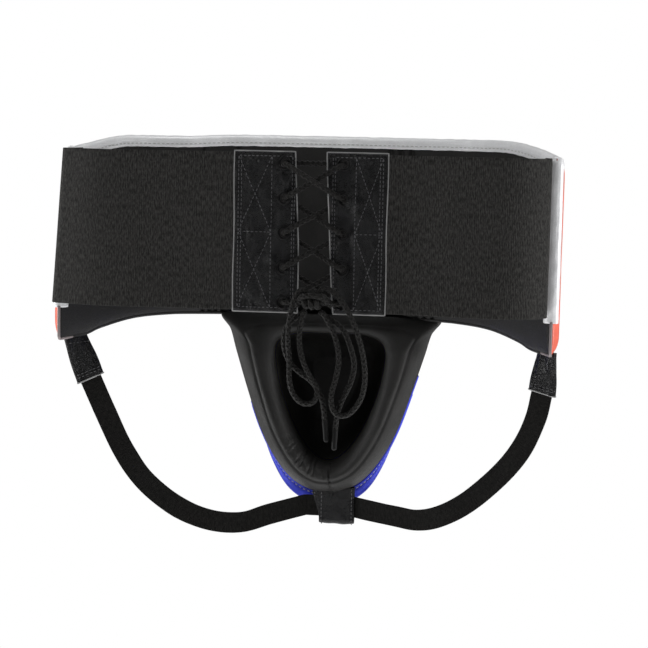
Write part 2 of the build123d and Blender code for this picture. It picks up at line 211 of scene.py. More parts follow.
class ProtectorSizes(bpy.types.PropertyGroup):
    """Sizes of the visible work, in metres."""

    lace: length("Lace", "Diameter of the round braided lace", 0.0044, 0.002, 0.006)
    stitch: length("Stitch", "Length of one visible stitch", 0.0026, 0.001, 0.006)
    stitch_step: length("Stitch step", "From one stitch to the next", 0.0038, 0.002, 0.01)
    thread: length("Thread", "Radius of the sewing thread", 0.00036, 0.0001, 0.001, 5)
    pad_edge: length("Pad edge", "How far in the pad reaches full thickness", 0.014, 0.004, 0.03)
    grain: length("Leather grain", "Size of one cell of the leather's grain", 0.0011, 0.0004, 0.004, 5)
    rib: length("Elastic rib", "From one knitted rib to the next", 0.0014, 0.0008, 0.004, 5)
    lace_sides: IntProperty(name="Lace sides", description="Faces around the lace",
                            default=14, min=8, max=32)


class ProtectorColours(bpy.types.PropertyGroup):
    """Colours of the leathers, fabrics and cords."""

    red: tint("Front leather", "Outside of the waist panel", (0.93, 0.17, 0.105))
    black: tint("Black leather", "Lining, rim and well", (0.0130, 0.0125, 0.0120))
    tab: tint("Tab leather", "Lace tabs, strap tabs and keeper", (0.0020, 0.0020, 0.0024))
    silver: tint("Binding", "Metallic binding", (0.96, 0.965, 0.98))
    piping: tint("Piping", "Piping at the panel's ends", (0.27, 0.23, 0.23))
    blue: tint("Cup leather", "Outside of the cup", (0.045, 0.065, 0.72))
    elastic: tint("Elastic", "Back band", (0.0330, 0.0320, 0.0305))
    strap: tint("Strap", "Leg straps", (0.0055, 0.0052, 0.0047))
    lace: tint("Lace", "Braided lace", (0.0050, 0.0047, 0.0042))
    pale_thread: tint("Pale thread", "Stitches on binding and cup", (0.62, 0.62, 0.60))
    dark_thread: tint("Dark thread", "Stitches on black leather", (0.115, 0.115, 0.120))
    cut_edge: tint("Cut edge", "Raw edges of the black leather", (0.30, 0.30, 0.30))


def sizes():
    return bpy.context.scene.protector_sizes


def colours():
    return bpy.context.scene.protector_colours


# ---- materials -------------------------------------------------------------------------------

class Value:
    """A number inside a material that adds Math nodes when it is used in an expression."""

    def __init__(self, shader, socket):
        self.shader = shader
        self.socket = socket

    def maths(self, operation, *inputs):
        node = self.shader.node("ShaderNodeMath", {"operation": operation}, dict(enumerate(inputs)))
        return Value(self.shader, node.outputs[0])

    def __add__(self, other):
        return self.maths("ADD", self, other)

    def __sub__(self, other):
        return self.maths("SUBTRACT", self, other)

    def __rsub__(self, other):
        return self.maths("SUBTRACT", other, self)

    def __mul__(self, other):
        return self.maths("MULTIPLY", self, other)

    def __truediv__(self, other):
        return self.maths("DIVIDE", self, other)

    def __pow__(self, other):
        return self.maths("POWER", self, other)

    __radd__ = __add__
    __rmul__ = __mul__

    def sine(self):
        return self.maths("SINE", self)

    def largest(self, other):
        return self.maths("MAXIMUM", self, other)

    def smallest(self, other):
        return self.maths("MINIMUM", self, other)

    def fraction(self):
        return self.maths("FRACT", self)

    def spread(self, low, high):
        """0 below low, 1 above high and a smooth step between them."""
        node = self.shader.node("ShaderNodeMapRange", {"interpolation_type": "SMOOTHSTEP"},
                                {"Value": self, "From Min": low, "From Max": high})
        return Value(self.shader, node.outputs[0])


class Shader:
    """A procedural material around one Principled BSDF."""

    def __init__(self, name, **constants):
        self.material = bpy.data.materials.new(name)
        self.material.use_nodes = True
        self.tree = self.material.node_tree
        self.surface = self.tree.nodes["Principled BSDF"]
        for socket, value in constants.items():
            self.surface.inputs[socket.replace("_", " ")].default_value = value

    def node(self, kind, settings=None, sockets=None):
        made = self.tree.nodes.new(kind)
        for key, value in (settings or {}).items():
            setattr(made, key, value)
        for key, value in (sockets or {}).items():
            self.feed(made.inputs[key], value)
        return made

    def feed(self, socket, value):
        if isinstance(value, Value):
            value = value.socket
        if isinstance(value, bpy.types.NodeSocket):
            self.tree.links.new(value, socket)
        else:
            socket.default_value = value

    def place(self, output="Object"):
        return self.node("ShaderNodeTexCoord").outputs[output]

    def axes(self):
        """The numbers of the piece's own flat map, in metres."""
        split = self.node("ShaderNodeSeparateXYZ", None, {0: self.place("UV")})
        return [Value(self, out) for out in split.outputs]

    def cloud(self, scale, detail=3.0, rough=0.5, where=None):
        node = self.node("ShaderNodeTexNoise", None,
                         {"Vector": where or self.place(), "Scale": scale, "Detail": detail,
                          "Roughness": rough})
        return Value(self, node.outputs[0])

    def cells(self, scale):
        node = self.node("ShaderNodeTexVoronoi", {"feature": "DISTANCE_TO_EDGE"},
                         {"Vector": self.place(), "Scale": scale})
        return Value(self, node.outputs["Distance"])

    def mix(self, factor, first, second):
        """A colour between two others."""
        node = self.node("ShaderNodeMix", {"data_type": "RGBA"},
                         {0: factor, 6: rgba(first), 7: rgba(second)})
        return node.outputs[2]

    def colour(self, value):
        self.feed(self.surface.inputs["Base Color"], value)

    def roughness(self, value):
        self.feed(self.surface.inputs["Roughness"], value)

    def relief(self, height, depth):
        bump = self.node("ShaderNodeBump", None, {"Height": height, "Distance": depth})
        self.feed(self.surface.inputs["Normal"], bump.outputs[0])
        return self.material


def rgba(colour):
    return (*colour[:3], 1.0)


def shade(colour, factor):
    """The same colour, darker below 1 and lighter above it."""
    return tuple(c * factor for c in colour[:3])


def leather(name, colour, rough, depth, wear=1.5, coat=0.0, metallic=0.0, folds=0.3, gloss=0.35):
    """Grained leather: cells for the grain, soft folds, and paler, duller rubbed places."""
    s = Shader(name, Metallic=metallic, Coat_Weight=coat, Coat_Roughness=0.22, Specular_IOR_Level=gloss)
    grain = s.cells(1 / sizes().grain).spread(0.0, 0.30)
    pores = s.cloud(2.4 / sizes().grain, 2.0)
    rubbed = s.cloud(38.0, 5.0, rough=0.62).spread(0.42, 0.72)
    crumple = s.cloud(95.0, 3.0)
    s.colour(s.mix(rubbed * 0.55 + grain * 0.25, shade(colour, 0.86), shade(colour, wear)))
    s.roughness((rubbed * 0.13 + (1 - grain) * 0.12 + rough).smallest(1.0))
    return s.relief(grain * 0.5 + pores * 0.22 + crumple * folds, depth)


def ribbed_elastic(name, colour, rib, across, depth, glint):
    """Knitted elastic whose ribs run across the band: its colour is lighter on the raised ribs, a painted
    glint, and darker in the grooves between them, painted shade, with random paler flecks.
    """
    s = Shader(name, Sheen_Weight=0.02, Sheen_Roughness=0.5, Specular_IOR_Level=0.12)
    along, up, _ = s.axes()
    ribs = ((along * (2 * math.pi / rib)).sine() * 0.5 + 0.5)
    courses = ((up * (2 * math.pi / across) + ribs * 2.4).sine() * 0.5 + 0.5)
    knit = ribs * 0.65 + courses * 0.35
    tall = s.node("ShaderNodeMapping", None, {"Vector": s.place("UV"), "Scale": (1.0, 0.30, 1.0)})
    fluff = s.cloud(850.0, rough=0.7, where=tall.outputs[0]).spread(0.30, 0.72)
    cloudy = s.cloud(60.0, 4.0)
    # the knit part of the tone follows the bump: painted glint on the rib crests and painted shade in the
    # grooves; the flecks and clouds are random tone
    tone = (knit * 0.40 + fluff * 0.75 + cloudy * 0.20 - 0.28).largest(0.0).smallest(1.0)
    s.colour(s.mix(tone, shade(colour, 0.30), shade(colour, glint)))
    s.roughness(0.74 + cloudy * 0.16)
    return s.relief(knit + fluff * 0.4, depth)


def braided_cord(name, colour):
    """Round braid: two families of strands that cross over the cord's surface; its colour is lighter on
    the strands' crests, a painted highlight, and darker where they dip, painted shade, with random fibre
    tone.
    """
    s = Shader(name, Sheen_Weight=0.05, Sheen_Roughness=0.4, Specular_IOR_Level=0.25)
    along, around, _ = s.axes()
    forward, turned = along * (2 * math.pi / BRAID_PITCH), around * (2 * math.pi * BRAID_TURNS)
    strands = (forward + turned).sine().largest((forward - turned).sine()) * 0.5 + 0.5
    fibres = s.cloud(2200.0, 3.0)
    # colour follows the strands of the bump: painted highlight on their crests and painted shade between
    # them; the fibres are random tone
    s.colour(s.mix((strands * 0.7 + fibres * 0.45 - 0.15).largest(0.0).smallest(1.0),
                   shade(colour, 0.25), shade(colour, 2.2)))
    s.roughness(0.55 + fibres * 0.25)
    return s.relief(strands + fibres * 0.3, 0.0007)


def thread(name, colour):
    """Sewing thread with a faint twist."""
    s = Shader(name, Sheen_Weight=0.05, Specular_IOR_Level=0.3)
    twist = s.cloud(2800.0, 2.0)
    s.colour(s.mix(twist, shade(colour, 0.6), shade(colour, 1.25)))
    s.roughness(0.5 + twist * 0.3)
    return s.relief(twist, 0.0001)


def lacquer(name, colour, rough):
    """Dark lacquer or moulded plastic with fine marks."""
    s = Shader(name, Specular_IOR_Level=0.2)
    marks = s.cloud(420.0, 4.0)
    s.colour(s.mix(marks, shade(colour, 0.7), shade(colour, 2.2)))
    s.roughness(rough + marks * 0.2)
    return s.relief(marks, 0.00005)


def make_materials():
    """Every finish that the pieces use, by name."""
    c = colours()
    return {
        "red": leather("red_leather", c.red, 0.38, 0.00014, 1.06, coat=0.25, folds=0.2),
        "black": leather("black_lining_leather", c.black, 0.44, 0.00016, 1.9, folds=0.35, gloss=0.25),
        "rim": leather("rim_leather", c.black, 0.42, 0.00016, 2.1, folds=0.4, gloss=0.35),
        "tab": leather("glossy_tab_leather", c.tab, 0.20, 0.00040, 2.2, folds=1.6, gloss=0.27),
        "silver": leather("silver_binding_leather", c.silver, 0.36, 0.00010, 1.12, coat=0.15,
                          metallic=0.12, folds=0.25),
        "piping": leather("grey_piping_leather", c.piping, 0.45, 0.00008, 1.2),
        "blue": leather("blue_leather", c.blue, 0.36, 0.00014, 1.25, coat=0.25, folds=0.2),
        "cut_edge": leather("cut_leather_edge", c.cut_edge, 0.75, 0.00012, 1.5),
        "elastic": ribbed_elastic("charcoal_elastic", c.elastic, sizes().rib, 0.0011, 0.00022, 2.1),
        "strap": ribbed_elastic("black_strap_elastic", c.strap, 0.0011, 0.0016, 0.00014, 2.6),
        "lace": braided_cord("braided_lace", c.lace),
        "pale_thread": thread("pale_thread", c.pale_thread),
        "dark_thread": thread("dark_thread", c.dark_thread),
        "eyelet": lacquer("black_lacquered_eyelet", (0.005, 0.005, 0.005), 0.24),
        "aglet": lacquer("moulded_lace_tip", (0.0015, 0.0015, 0.0015), 0.5),
    }


FINISHES = {}


# ---- mesh helpers ----------------------------------------------------------------------------

def surface(columns, rows, place, flat=(1.0, 1.0), seal=1e-6):
    """A grid whose corners (0..1, 0..1) are put where place says, with its own flat UV map."""
    bm = bmesh.new()
    layer = bm.loops.layers.uv.new("UVMap")
    bmesh.ops.create_grid(bm, x_segments=columns, y_segments=rows, size=0.5)
    for face in bm.faces:
        for loop in face.loops:
            u, v = loop.vert.co.x + 0.5, loop.vert.co.y + 0.5
            loop[layer].uv = (u * flat[0], v * flat[1])
    for vert in bm.verts:
        vert.co = place(vert.co.x + 0.5, vert.co.y + 0.5)
    bmesh.ops.remove_doubles(bm, verts=bm.verts, dist=seal)
    return bm


def cord_tube(path):
    """The braided lace along a path."""
    return tube(path, sizes().lace / 2, sizes().lace_sides, braid=BRAID)


def close_ends(bm):
    """Fills the open ends of a tube."""
    edges = [edge for edge in bm.edges if edge.is_boundary]
    bmesh.ops.holes_fill(bm, edges=edges, sides=0)


def piece(name, bm, finish, body=ROOT, instead=(), outward=True):
    """Makes an object of a finished bmesh, gives it its finish and puts it on its body."""
    if outward:
        bmesh.ops.recalc_face_normals(bm, faces=bm.faces)
    mesh = bpy.data.meshes.new(name)
    for face in bm.faces:
        face.smooth = True
    bm.to_mesh(mesh)
    bm.free()
    mesh.materials.append(FINISHES[finish])
    obj = bpy.data.objects.new(name, mesh)
    bpy.context.scene.collection.objects.link(obj)
    if instead:
        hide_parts(*instead)
    if body:
        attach(obj, body)
    return obj


def thicken(obj, thickness, offset=-1.0, rounding=0.0):
    """Gives a sheet its thickness and, if asked, a rounded edge."""
    solid = obj.modifiers.new("thickness", "SOLIDIFY")
    solid.thickness = thickness
    solid.offset = offset
    if rounding:
        bevel = obj.modifiers.new("rounded_edge", "BEVEL")
        bevel.width = rounding
        bevel.segments = 3
        bevel.limit_method = "ANGLE"
        bevel.angle_limit = math.radians(50)
    return obj


def catmull(points, steps, closed=False):
    """A smooth line through points, with this many steps between neighbours."""
    count = len(points)
    line = []
    for i in range(count if closed else count - 1):
        if closed:
            a, b, c, d = (points[(i + k - 1) % count] for k in range(4))
        else:
            b, c = points[i], points[i + 1]
            a = points[i - 1] if i else b * 2 - c
            d = points[i + 2] if i + 2 < count else c * 2 - b
        for step in range(steps):
            t = step / steps
            line.append(0.5 * (2 * b + (c - a) * t + (2 * a - 5 * b + 4 * c - d) * t * t
                               + (3 * b - a - 3 * c + d) * t ** 3))
    if not closed:
        line.append(points[-1].copy())
    return line


class Run:
    """A line with its distances, read by a share of its whole length."""

    def __init__(self, points):
        self.points = points
        self.marks = [0.0]
        for a, b in zip(points, points[1:]):
            self.marks.append(self.marks[-1] + (b - a).length)
        self.length = self.marks[-1]

    def at(self, share):
        goal = min(max(share, 0.0), 1.0) * self.length
        low, high = 0, len(self.marks) - 1
        while high - low > 1:
            middle = (low + high) // 2
            if self.marks[middle] <= goal:
                low = middle
            else:
                high = middle
        span = self.marks[high] - self.marks[low]
        part = (goal - self.marks[low]) / span if span else 0.0
        return self.points[low].lerp(self.points[high], part)

    def heading(self, share, reach=0.004):
        return (self.at(share + reach) - self.at(share - reach)).normalized()


def half_outline(points):
    """Half of an outline, from its top middle to its bottom middle, in the XZ plane."""
    half = [Vector(p) for p in points]
    ring = half + [Vector((-p.x, p.y)) for p in reversed(half[1:-1])]
    line = catmull(ring, 24, closed=True)
    return Run(line[:(len(half) - 1) * 24 + 1])


def loop_point(half, share):
    """A point of the whole outline: 0 at the top middle, 0.5 at the bottom, the right side first."""
    share %= 1.0
    point = half.at(share * 2 if share <= 0.5 else (1 - share) * 2)
    return Vector((CUP_X + (point.x if share <= 0.5 else -point.x), point.y))


def smooth(t):
    """0 to 1 with soft starts and ends."""
    t = min(max(t, 0.0), 1.0)
    return t * t * (3 - 2 * t)


def ripple(x, y, z, size):
    """Soft unevenness between -1 and 1 whose bumps are about this size in metres."""
    return noise.noise(Vector((x, y, z)) / size)


def tube(path, radius, sides, closed=False, braid=0.0):
    """A round tube along a dense path, with lengths in metres along its UV map."""
    points = path + [path[0]] if closed else path
    run = Run(points)
    count = len(points)
    frames = []
    side = None
    for i, point in enumerate(points):
        ahead = points[min(i + 1, count - 1)] if not closed or i < count - 1 else points[1]
        behind = points[max(i - 1, 0)] if not closed or i else points[-2]
        heading = (ahead - behind).normalized()
        if side is None:
            side = heading.orthogonal().normalized()
        side = (side - heading * side.dot(heading)).normalized()
        frames.append((point, side, heading.cross(side)))

    def place(u, v):
        point, across, up = frames[min(round(u * (count - 1)), count - 1)]
        angle = 2 * math.pi * v
        reach = radius(u) if callable(radius) else radius
        if braid:
            wave = 2 * math.pi * run.marks[round(u * (count - 1))] / BRAID_PITCH
            high = max(math.sin(wave + BRAID_TURNS * angle), math.sin(wave - BRAID_TURNS * angle))
            reach *= 1 - braid + braid * high
        return point + (across * math.cos(angle) + up * math.sin(angle)) * reach

    bm = surface(count - 1, sides, place, (run.length, 1.0), seal=2e-6)
    if not closed:
        close_ends(bm)
    return bm


def nurbs(name, points):
    """The smooth line that has these control points, as dense points."""
    curve = bpy.data.curves.new(name, "CURVE")
    curve.dimensions = "3D"
    curve.resolution_u = 12
    spline = curve.splines.new("NURBS")
    spline.points.add(len(points) - 1)
    for target, point in zip(spline.points, points):
        target.co = (*point, 1.0)
    spline.order_u = 3
    spline.use_endpoint_u = True
    holder = bpy.data.objects.new(name, curve)
    bpy.context.scene.collection.objects.link(holder)
    bpy.context.view_layer.update()
    mesh = bpy.data.meshes.new_from_object(holder)
    line = [v.co.copy() for v in mesh.vertices]
    bpy.data.objects.remove(holder)
    bpy.data.meshes.remove(mesh)
    return even(line, 0.0009)


def even(line, step):
    """The same line with evenly spaced points."""
    run = Run(line)
    count = max(int(run.length / step), 2)
    return [run.at(i / count) for i in range(count + 1)]


def stitches(bm, path, normal_at, length=None, step=None, lift=0.0, radius=None):
    """Adds a row of short round stitches along a path, each one a little sunk at its ends."""
    length = length or sizes().stitch
    step = step or sizes().stitch_step
    radius = radius or sizes().thread
    run = Run(path)
    count = int(run.length / step)
    for i in range(count):
        middle = (i + 0.5) / count
        half = length / 2 / run.length
        a, b, c = run.at(middle - half), run.at(middle), run.at(middle + half)
        up = normal_at(middle, b)
        heading = (c - a).normalized()
        across = heading.cross(up).normalized()
        rings = ((a, 0.35, -0.6), (a.lerp(b, 0.5), 1.0, 0.3), (b.lerp(c, 0.5), 1.0, 0.3), (c, 0.35, -0.6))
        loops = []
        for point, size, rise in rings:
            centre = point + up * (lift + rise * radius)
            loops.append([bm.verts.new(centre + (across * math.cos(k * math.pi / 2.5)
                                                 + up * math.sin(k * math.pi / 2.5)) * radius * size)
                          for k in range(5)])
        for first, second in zip(loops, loops[1:]):
            for k in range(5):
                bm.faces.new((first[k], first[(k + 1) % 5], second[(k + 1) % 5], second[k]))
        bm.faces.new(reversed(loops[0]))
        bm.faces.new(loops[-1])


# ---- lines of the frame ----------------------------------------------------------------------

def plan(distance, offset=0.0):
    """A point of the panel's plan, its outward normal and its heading, by signed distance."""
    side = 1 if distance >= 0 else -1
    left = abs(distance)
    x, y, turned = 0.0, FRONT_Y, 0.0
    for radius, angle in PLAN_ARCS:
        part = min(left / radius, angle)
        x += radius * (math.sin(turned + part) - math.sin(turned))
        y -= radius * (math.cos(turned) - math.cos(turned + part))
        turned += part
        left -= part * radius
        if left <= 0:
            break
    x += max(left, 0) * math.cos(turned)
    y -= max(left, 0) * math.sin(turned)
    normal = Vector((side * math.sin(turned), math.cos(turned), 0))
    heading = Vector((side * math.cos(turned), -math.sin(turned), 0))
    return Vector((PANEL_X + side * x, y, 0)) + normal * offset, normal, heading


def top_edge(x):
    """Height of the panel's top: flat, falling at both ends, and sagging a little on the left."""
    past = max(abs(x - PANEL_X) - TOP_FLAT_X, 0.0)
    sag = 0.002 * smooth((-0.075 - x) / 0.05) * smooth((x + 0.22) / 0.03)
    return PANEL_TOP - sag - (TOP_ARC_RADIUS - math.sqrt(max(TOP_ARC_RADIUS ** 2 - past ** 2, 0.0)))


LOWER_RUN = catmull([Vector(p) for p in LOWER_EDGE], 10)


def lower_edge(x):
    """Height of the panel's lower edge."""
    x = abs(x - PANEL_X)
    for a, b in zip(LOWER_RUN, LOWER_RUN[1:]):
        if a.x <= x <= b.x:
            return a.y + (b.y - a.y) * (x - a.x) / max(b.x - a.x, 1e-9)
    return LOWER_RUN[-1].y


def lean(point):
    """The left end stands a little slanted, its top drawn in."""
    near = smooth((PANEL_X - point.x - 0.130) / 0.070)
    point.x += near * (LEAN_MIDDLE + LEAN * min(max(point.z, -0.066), 0.075))
    point.x -= RIGHT_DRAWN_IN * smooth((point.x - PANEL_X - 0.130) / 0.060)
    return point


def pillow(distance, reach):
    """0 at an edge, 1 past reach, round between."""
    t = min(max(distance / reach, 0.0), 1.0)
    return math.sqrt(max(1 - (1 - t) ** 2, 0.0))


# ---- waist panel -----------------------------------------------------------------------------

PLEATS = ((-0.094, 0.0011, -1), (-0.088, 0.0013, -1), (-0.083, 0.0012, -1), (-0.077, 0.0013, -1),
          (-0.069, 0.0011, -1), (0.086, 0.0012, -1), (0.093, 0.0013, -1), (0.100, 0.0011, -1),
          (0.062, 0.0014, 1), (0.071, 0.0014, 1), (0.080, 0.0012, 1), (-0.095, 0.0010, 1),
          (-0.066, 0.0010, 1))


def pleat_depth(s, z):
    """How far the sewn-in pleats draw the lining back."""
    depth = 0.0
    for where, width, end in PLEATS:
        reach = smooth((z - 0.030) / 0.03) if end > 0 else smooth((-0.028 - z) / 0.03)
        depth += reach * math.exp(-((s - where) / (1.5 * width)) ** 2)
    return min(depth, 1.0)


def panel_skin(outward):
    """One face of the padded panel as a closed form from the middle of the pad outwards."""
    reach = sizes().pad_edge

    def place(u, v):
        s = (u - 0.5) * 2 * HALF_RUN
        face = v <= 0.5
        w = v * 2 if face else (1 - v) * 2
        w = 0.5 - 0.5 * math.cos(math.pi * w)
        middle, normal, _ = plan(s)
        low, high = lower_edge(middle.x), top_edge(middle.x)
        z = low + (high - low) * w
        edge = pillow(min(z - low, high - z), reach) * pillow(HALF_RUN - abs(s), reach)
        if not face:
            return lean(middle + Vector((0, 0, z)))
        out = HALF_PAD * edge
        if outward > 0:
            inward = HALF_RUN - abs(s)
            puffed = smooth((inward - 0.003) / 0.008) * (1 - smooth((inward - 0.022) / 0.04))
            out += END_PUFF * edge * puffed
        out += 0.00035 * edge * ripple(s, z, outward * 3.0, 0.030)
        if outward < 0:
            out -= PLEAT_DRAW * edge * pleat_depth(s, z)
        return lean(middle + normal * (outward * out) + Vector((0, 0, z)))

    return surface(420, 88, place, (2 * HALF_RUN, 0.3))


def binding_path():
    """The bound edge as (distance along the panel, height), from one end foot to the other."""
    end_top = top_edge(plan(HALF_RUN)[0].x)
    corner = 0.006
    rise = [Vector((HALF_RUN, BINDING_FOOT)), Vector((HALF_RUN, end_top - corner * 1.6)),
            Vector((HALF_RUN - 0.0004, end_top - corner * 0.7)),
            Vector((HALF_RUN - 0.0022, end_top + 0.0002))]
    line = [Vector((-p.x, p.y)) for p in rise]
    count = 90
    for i in range(count + 1):
        s = (HALF_RUN - corner) * (2 * i / count - 1)
        line.append(Vector((s, top_edge(plan(s)[0].x))))
    line += reversed(rise)
    return Run(line)


BINDING_SECTION = (
    (-0.0046, -0.0080), (-0.0053, -0.0077), (-0.0057, -0.0070), (-0.0055, -0.0060), (-0.0049, -0.0052),
    (-0.0054, -0.0043), (-0.0056, -0.0030), (-0.0050, -0.0012), (-0.0034, 0.0004), (-0.0012, 0.0012),
    (0.0012, 0.0012), (0.0034, 0.0004), (0.0050, -0.0012), (0.0056, -0.0030), (0.0054, -0.0043),
    (0.0050, -0.0048), (0.0055, -0.0052), (0.0057, -0.0058), (0.0053, -0.0063), (0.0046, -0.0065),
)


def on_panel(s, z, out):
    """A place this far along the panel, this high and this far out from the pad's middle."""
    middle, normal, _ = plan(s)
    return lean(middle + normal * out + Vector((0, 0, z)))


def binding():
    """The folded binding's skin and the line that it follows."""
    run = binding_path()
    section = Run([Vector(p) for p in BINDING_SECTION])

    def place(u, v):
        spot, heading = run.at(u), run.heading(u, 0.003)
        outside = Vector((-heading.y, heading.x))
        across = section.at(v)
        wrinkle = 0.00032 * ripple(u * run.length, v * 0.02, 1.7, 0.007)
        wrinkle += 0.0002 * ripple(u * run.length, v * 0.03, 5.1, 0.0035)
        edge = spot + outside * (across.y + wrinkle)
        return on_panel(edge.x, edge.y, across.x * (1 + 0.04 * ripple(u * run.length, v, 9.0, 0.02)))

    return surface(620, 38, place, (run.length, 0.03)), run


def binding_stitches(run):
    """A row of stitches along each face of the binding."""
    bm = bmesh.new()
    for face in (-1, 1):
        row = []
        for i in range(401):
            u = i / 400
            heading = run.heading(u, 0.003)
            edge = run.at(u) + Vector((-heading.y, heading.x)) * -0.0052
            row.append(on_panel(edge.x, edge.y, face * 0.0050))
        stitches(bm, row, lambda share, point, f=face: plan_normal(point) * f, lift=0.0001)
    return bm


def plan_normal(point):
    """The panel's outward direction near a point."""
    best = min((abs(plan(s)[0].x - point.x) + abs(plan(s)[0].y - point.y), s)
               for s in (math.copysign(k * 0.012, point.x - PANEL_X) for k in range(20)))
    return plan(best[1])[1]


class PROTECTOR_OT_waist_panel(bpy.types.Operator):
    """Make the padded waist panel, its lining, binding, piping and stitches"""

    bl_idname = "protector.waist_panel"
    bl_label = "Waist panel"

    def execute(self, context):
        outer = piece("waist_panel_leather", panel_skin(1), "red",
                      instead=("panel_cover", "panel_foam"))
        inner = piece("waist_panel_lining", panel_skin(-1), "black",
                      instead=("panel_lining",))
        folded, run = binding()
        edge = piece("folded_binding", folded, "silver",
                     instead=("top_binding", "left_end_binding", "right_end_binding"), outward=False)
        thicken(edge, BINDING_LEATHER)
        piece("binding_stitches", binding_stitches(run), "pale_thread")
        self.piping()
        self.lower_roll()
        return {"FINISHED"}

    def piping(self):
        """Round piping down each end below the binding and a little way along the lower edge."""
        for name, side in SIDES:
            low = lower_edge(plan(HALF_RUN)[0].x)
            line = [on_panel(side * (HALF_RUN + 0.0006), BINDING_FOOT + 0.001, 0.0),
                    on_panel(side * (HALF_RUN + 0.0012), BINDING_FOOT - 0.004, 0.0),
                    on_panel(side * (HALF_RUN + 0.0012), low + 0.006, 0.0),
                    on_panel(side * (HALF_RUN - 0.0006), low + 0.0012, 0.0),
                    on_panel(side * (HALF_RUN - 0.006), low - 0.0002, 0.0),
                    on_panel(side * (HALF_RUN - 0.020), lower_edge(plan(HALF_RUN - 0.020)[0].x), 0.0)]
            path = even(catmull(line, 10), 0.001)
            piece(name + "_piping", tube(path, PIPING_RADIUS, 12), "piping",
                  instead=(name + "_end_piping",))

    def lower_roll(self):
        """The turned lower edge between the end pipings."""
        line = []
        for i in range(161):
            s = (HALF_RUN - 0.019) * (i / 80 - 1)
            line.append(on_panel(s, lower_edge(plan(s)[0].x) + 0.0006, -0.0002))
        piece("lower_edge_roll", tube(line, LOWER_ROLL_RADIUS, 10), "black")


# ---- back band -------------------------------------------------------------------------------

def band_line(side):
    """The elastic's middle line from inside the panel's end round to its lace tab."""
    start = HALF_RUN - BAND_OVERLAP
    line = [plan(side * (start + (HALF_RUN - start) * i / 8), BAND_OFFSET)[0] for i in range(9)]
    last = line[-1]
    reach = BAND_BULGE[side]
    turn = [last + Vector((side * reach * wide, -back, 0)) for wide, back in
            ((0.05, 0.003), (0.55, 0.0065), (0.95, 0.0115), (0.98, 0.0165), (0.6, 0.0215), (-0.6, 0.0248))]
    first, end = turn[-1], Vector((side * TAB_OUTER_X[side], TAB_Y, 0))
    line = catmull([line[0], line[4]] + [last] + turn, 8)
    leaving = (line[-1] - line[-2]).normalized()
    arriving = Vector((-side, 0, 0))
    span = (end - first).length
    for i in range(1, 25):
        t = i / 24
        line.append(first * (2 * t ** 3 - 3 * t * t + 1) + leaving * span * (t ** 3 - 2 * t * t + t)
                    + end * (3 * t * t - 2 * t ** 3) + arriving * span * (t ** 3 - t * t))
    line.append(end - Vector((side * 0.004, 0, 0)))
    return Run(line)


class PROTECTOR_OT_back_band(bpy.types.Operator):
    """Make the two stretched elastics of the back band"""

    bl_idname = "protector.back_band"
    bl_label = "Back band"

    def execute(self, context):
        for name, side in SIDES:
            run = band_line(side)

            def place(u, v, run=run, side=side):
                point = run.at(u)
                z = BAND_HALF * (2 * v - 1)
                heading = run.heading(u, 0.01)
                normal = Vector((heading.y, -heading.x, 0)) * side
                free = smooth(u / 0.25) * smooth((1 - u) / 0.1)
                wave = 0.0007 * ripple(u * run.length, z * 0.35, side * 4.0, 0.045)
                wave += 0.0004 * math.sin(3 * math.pi * v + 2 * side) * smooth((u - 0.5) * 2)
                edge = 0.0004 * ripple(u * run.length, side * 2.0, v, 0.02) * (2 * v - 1)
                return lean(point + normal * wave * free + Vector((0, 0, z * (1 + edge))))

            band = piece(name + "_band_elastic", surface(170, 60, place, (run.length, 2 * BAND_HALF)),
                         "elastic", body=None, instead=(name + "_elastic",),
                         outward=False)
            thicken(band, ELASTIC_THICK, 0.0, 0.0005)
            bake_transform(band)
        return {"FINISHED"}


# ---- lace tabs -------------------------------------------------------------------------------

def eyelet_heights():
    """Heights of a tab's holes, from the top."""
    return [EYELET_TOP_Z - EYELET_STEP * i for i in range(EYELET_COUNT)]


def tab_width_at(v, side):
    """Inner and outer edge of the tab at a height share: the inner edge bows and waves a little."""
    bow = 0.0016 * math.sin(math.pi * v) + 0.0005 * math.sin(7 * v + side)
    skew = (0.0036 * v - 0.0026) if side < 0 else (0.0032 - 0.0068 * v)
    return TAB_INNER_X + 0.0007 + skew - bow * 0.6, TAB_OUTER_X[side] - 0.0002 + 0.0003 * math.sin(9 * v)


def tab_relief(x, z, side):
    """How far the front leather stands out: puffed middle, drawn in at stitches, creased by holes."""
    across = (x - TAB_INNER_X) / (TAB_OUTER_X[side] - TAB_INNER_X)
    height = 0.0007 * math.sin(math.pi * min(max(across, 0), 1)) * math.cos(z / TAB_HALF * 1.2)
    for hole in eyelet_heights():
        d = math.hypot(x - EYELET_X, z - hole)
        height -= 0.0006 * math.exp(-(d / 0.007) ** 2)
        folds = 1 + math.sin(6 * math.atan2(z - hole, x - EYELET_X) + hole * 90)
        height += 0.0004 * math.exp(-((d - 0.011) / 0.004) ** 2) * folds
    height += 0.0016 * ripple(x * 1.6, z * 0.8, side * 7.0, 0.012)
    height += 0.0010 * ripple(x, z * 0.6, side * 3.0, 0.005)
    if side > 0:
        height += 0.0030 * math.exp(-((x - 0.0335) / 0.0040) ** 2 - ((z - 0.004) / 0.022) ** 2)
    return height


def tab_stand(x, z, side, face):
    """How far a tab's front (-1) or back (1) leather stands off the tab's middle."""
    low, high = tab_width_at((z / TAB_HALF + 1) / 2, side)
    edge = pillow(min(x - low, high - x, TAB_HALF - abs(z)), TAB_EDGE_ROUND)
    stand = TAB_EDGE + (TAB_FACE - TAB_EDGE) * edge
    if face < 0:
        u = (x - low) / (high - low)
        stand += edge * tab_relief(x, z, side) * smooth(min(u, 1 - u) * 9)
    return stand


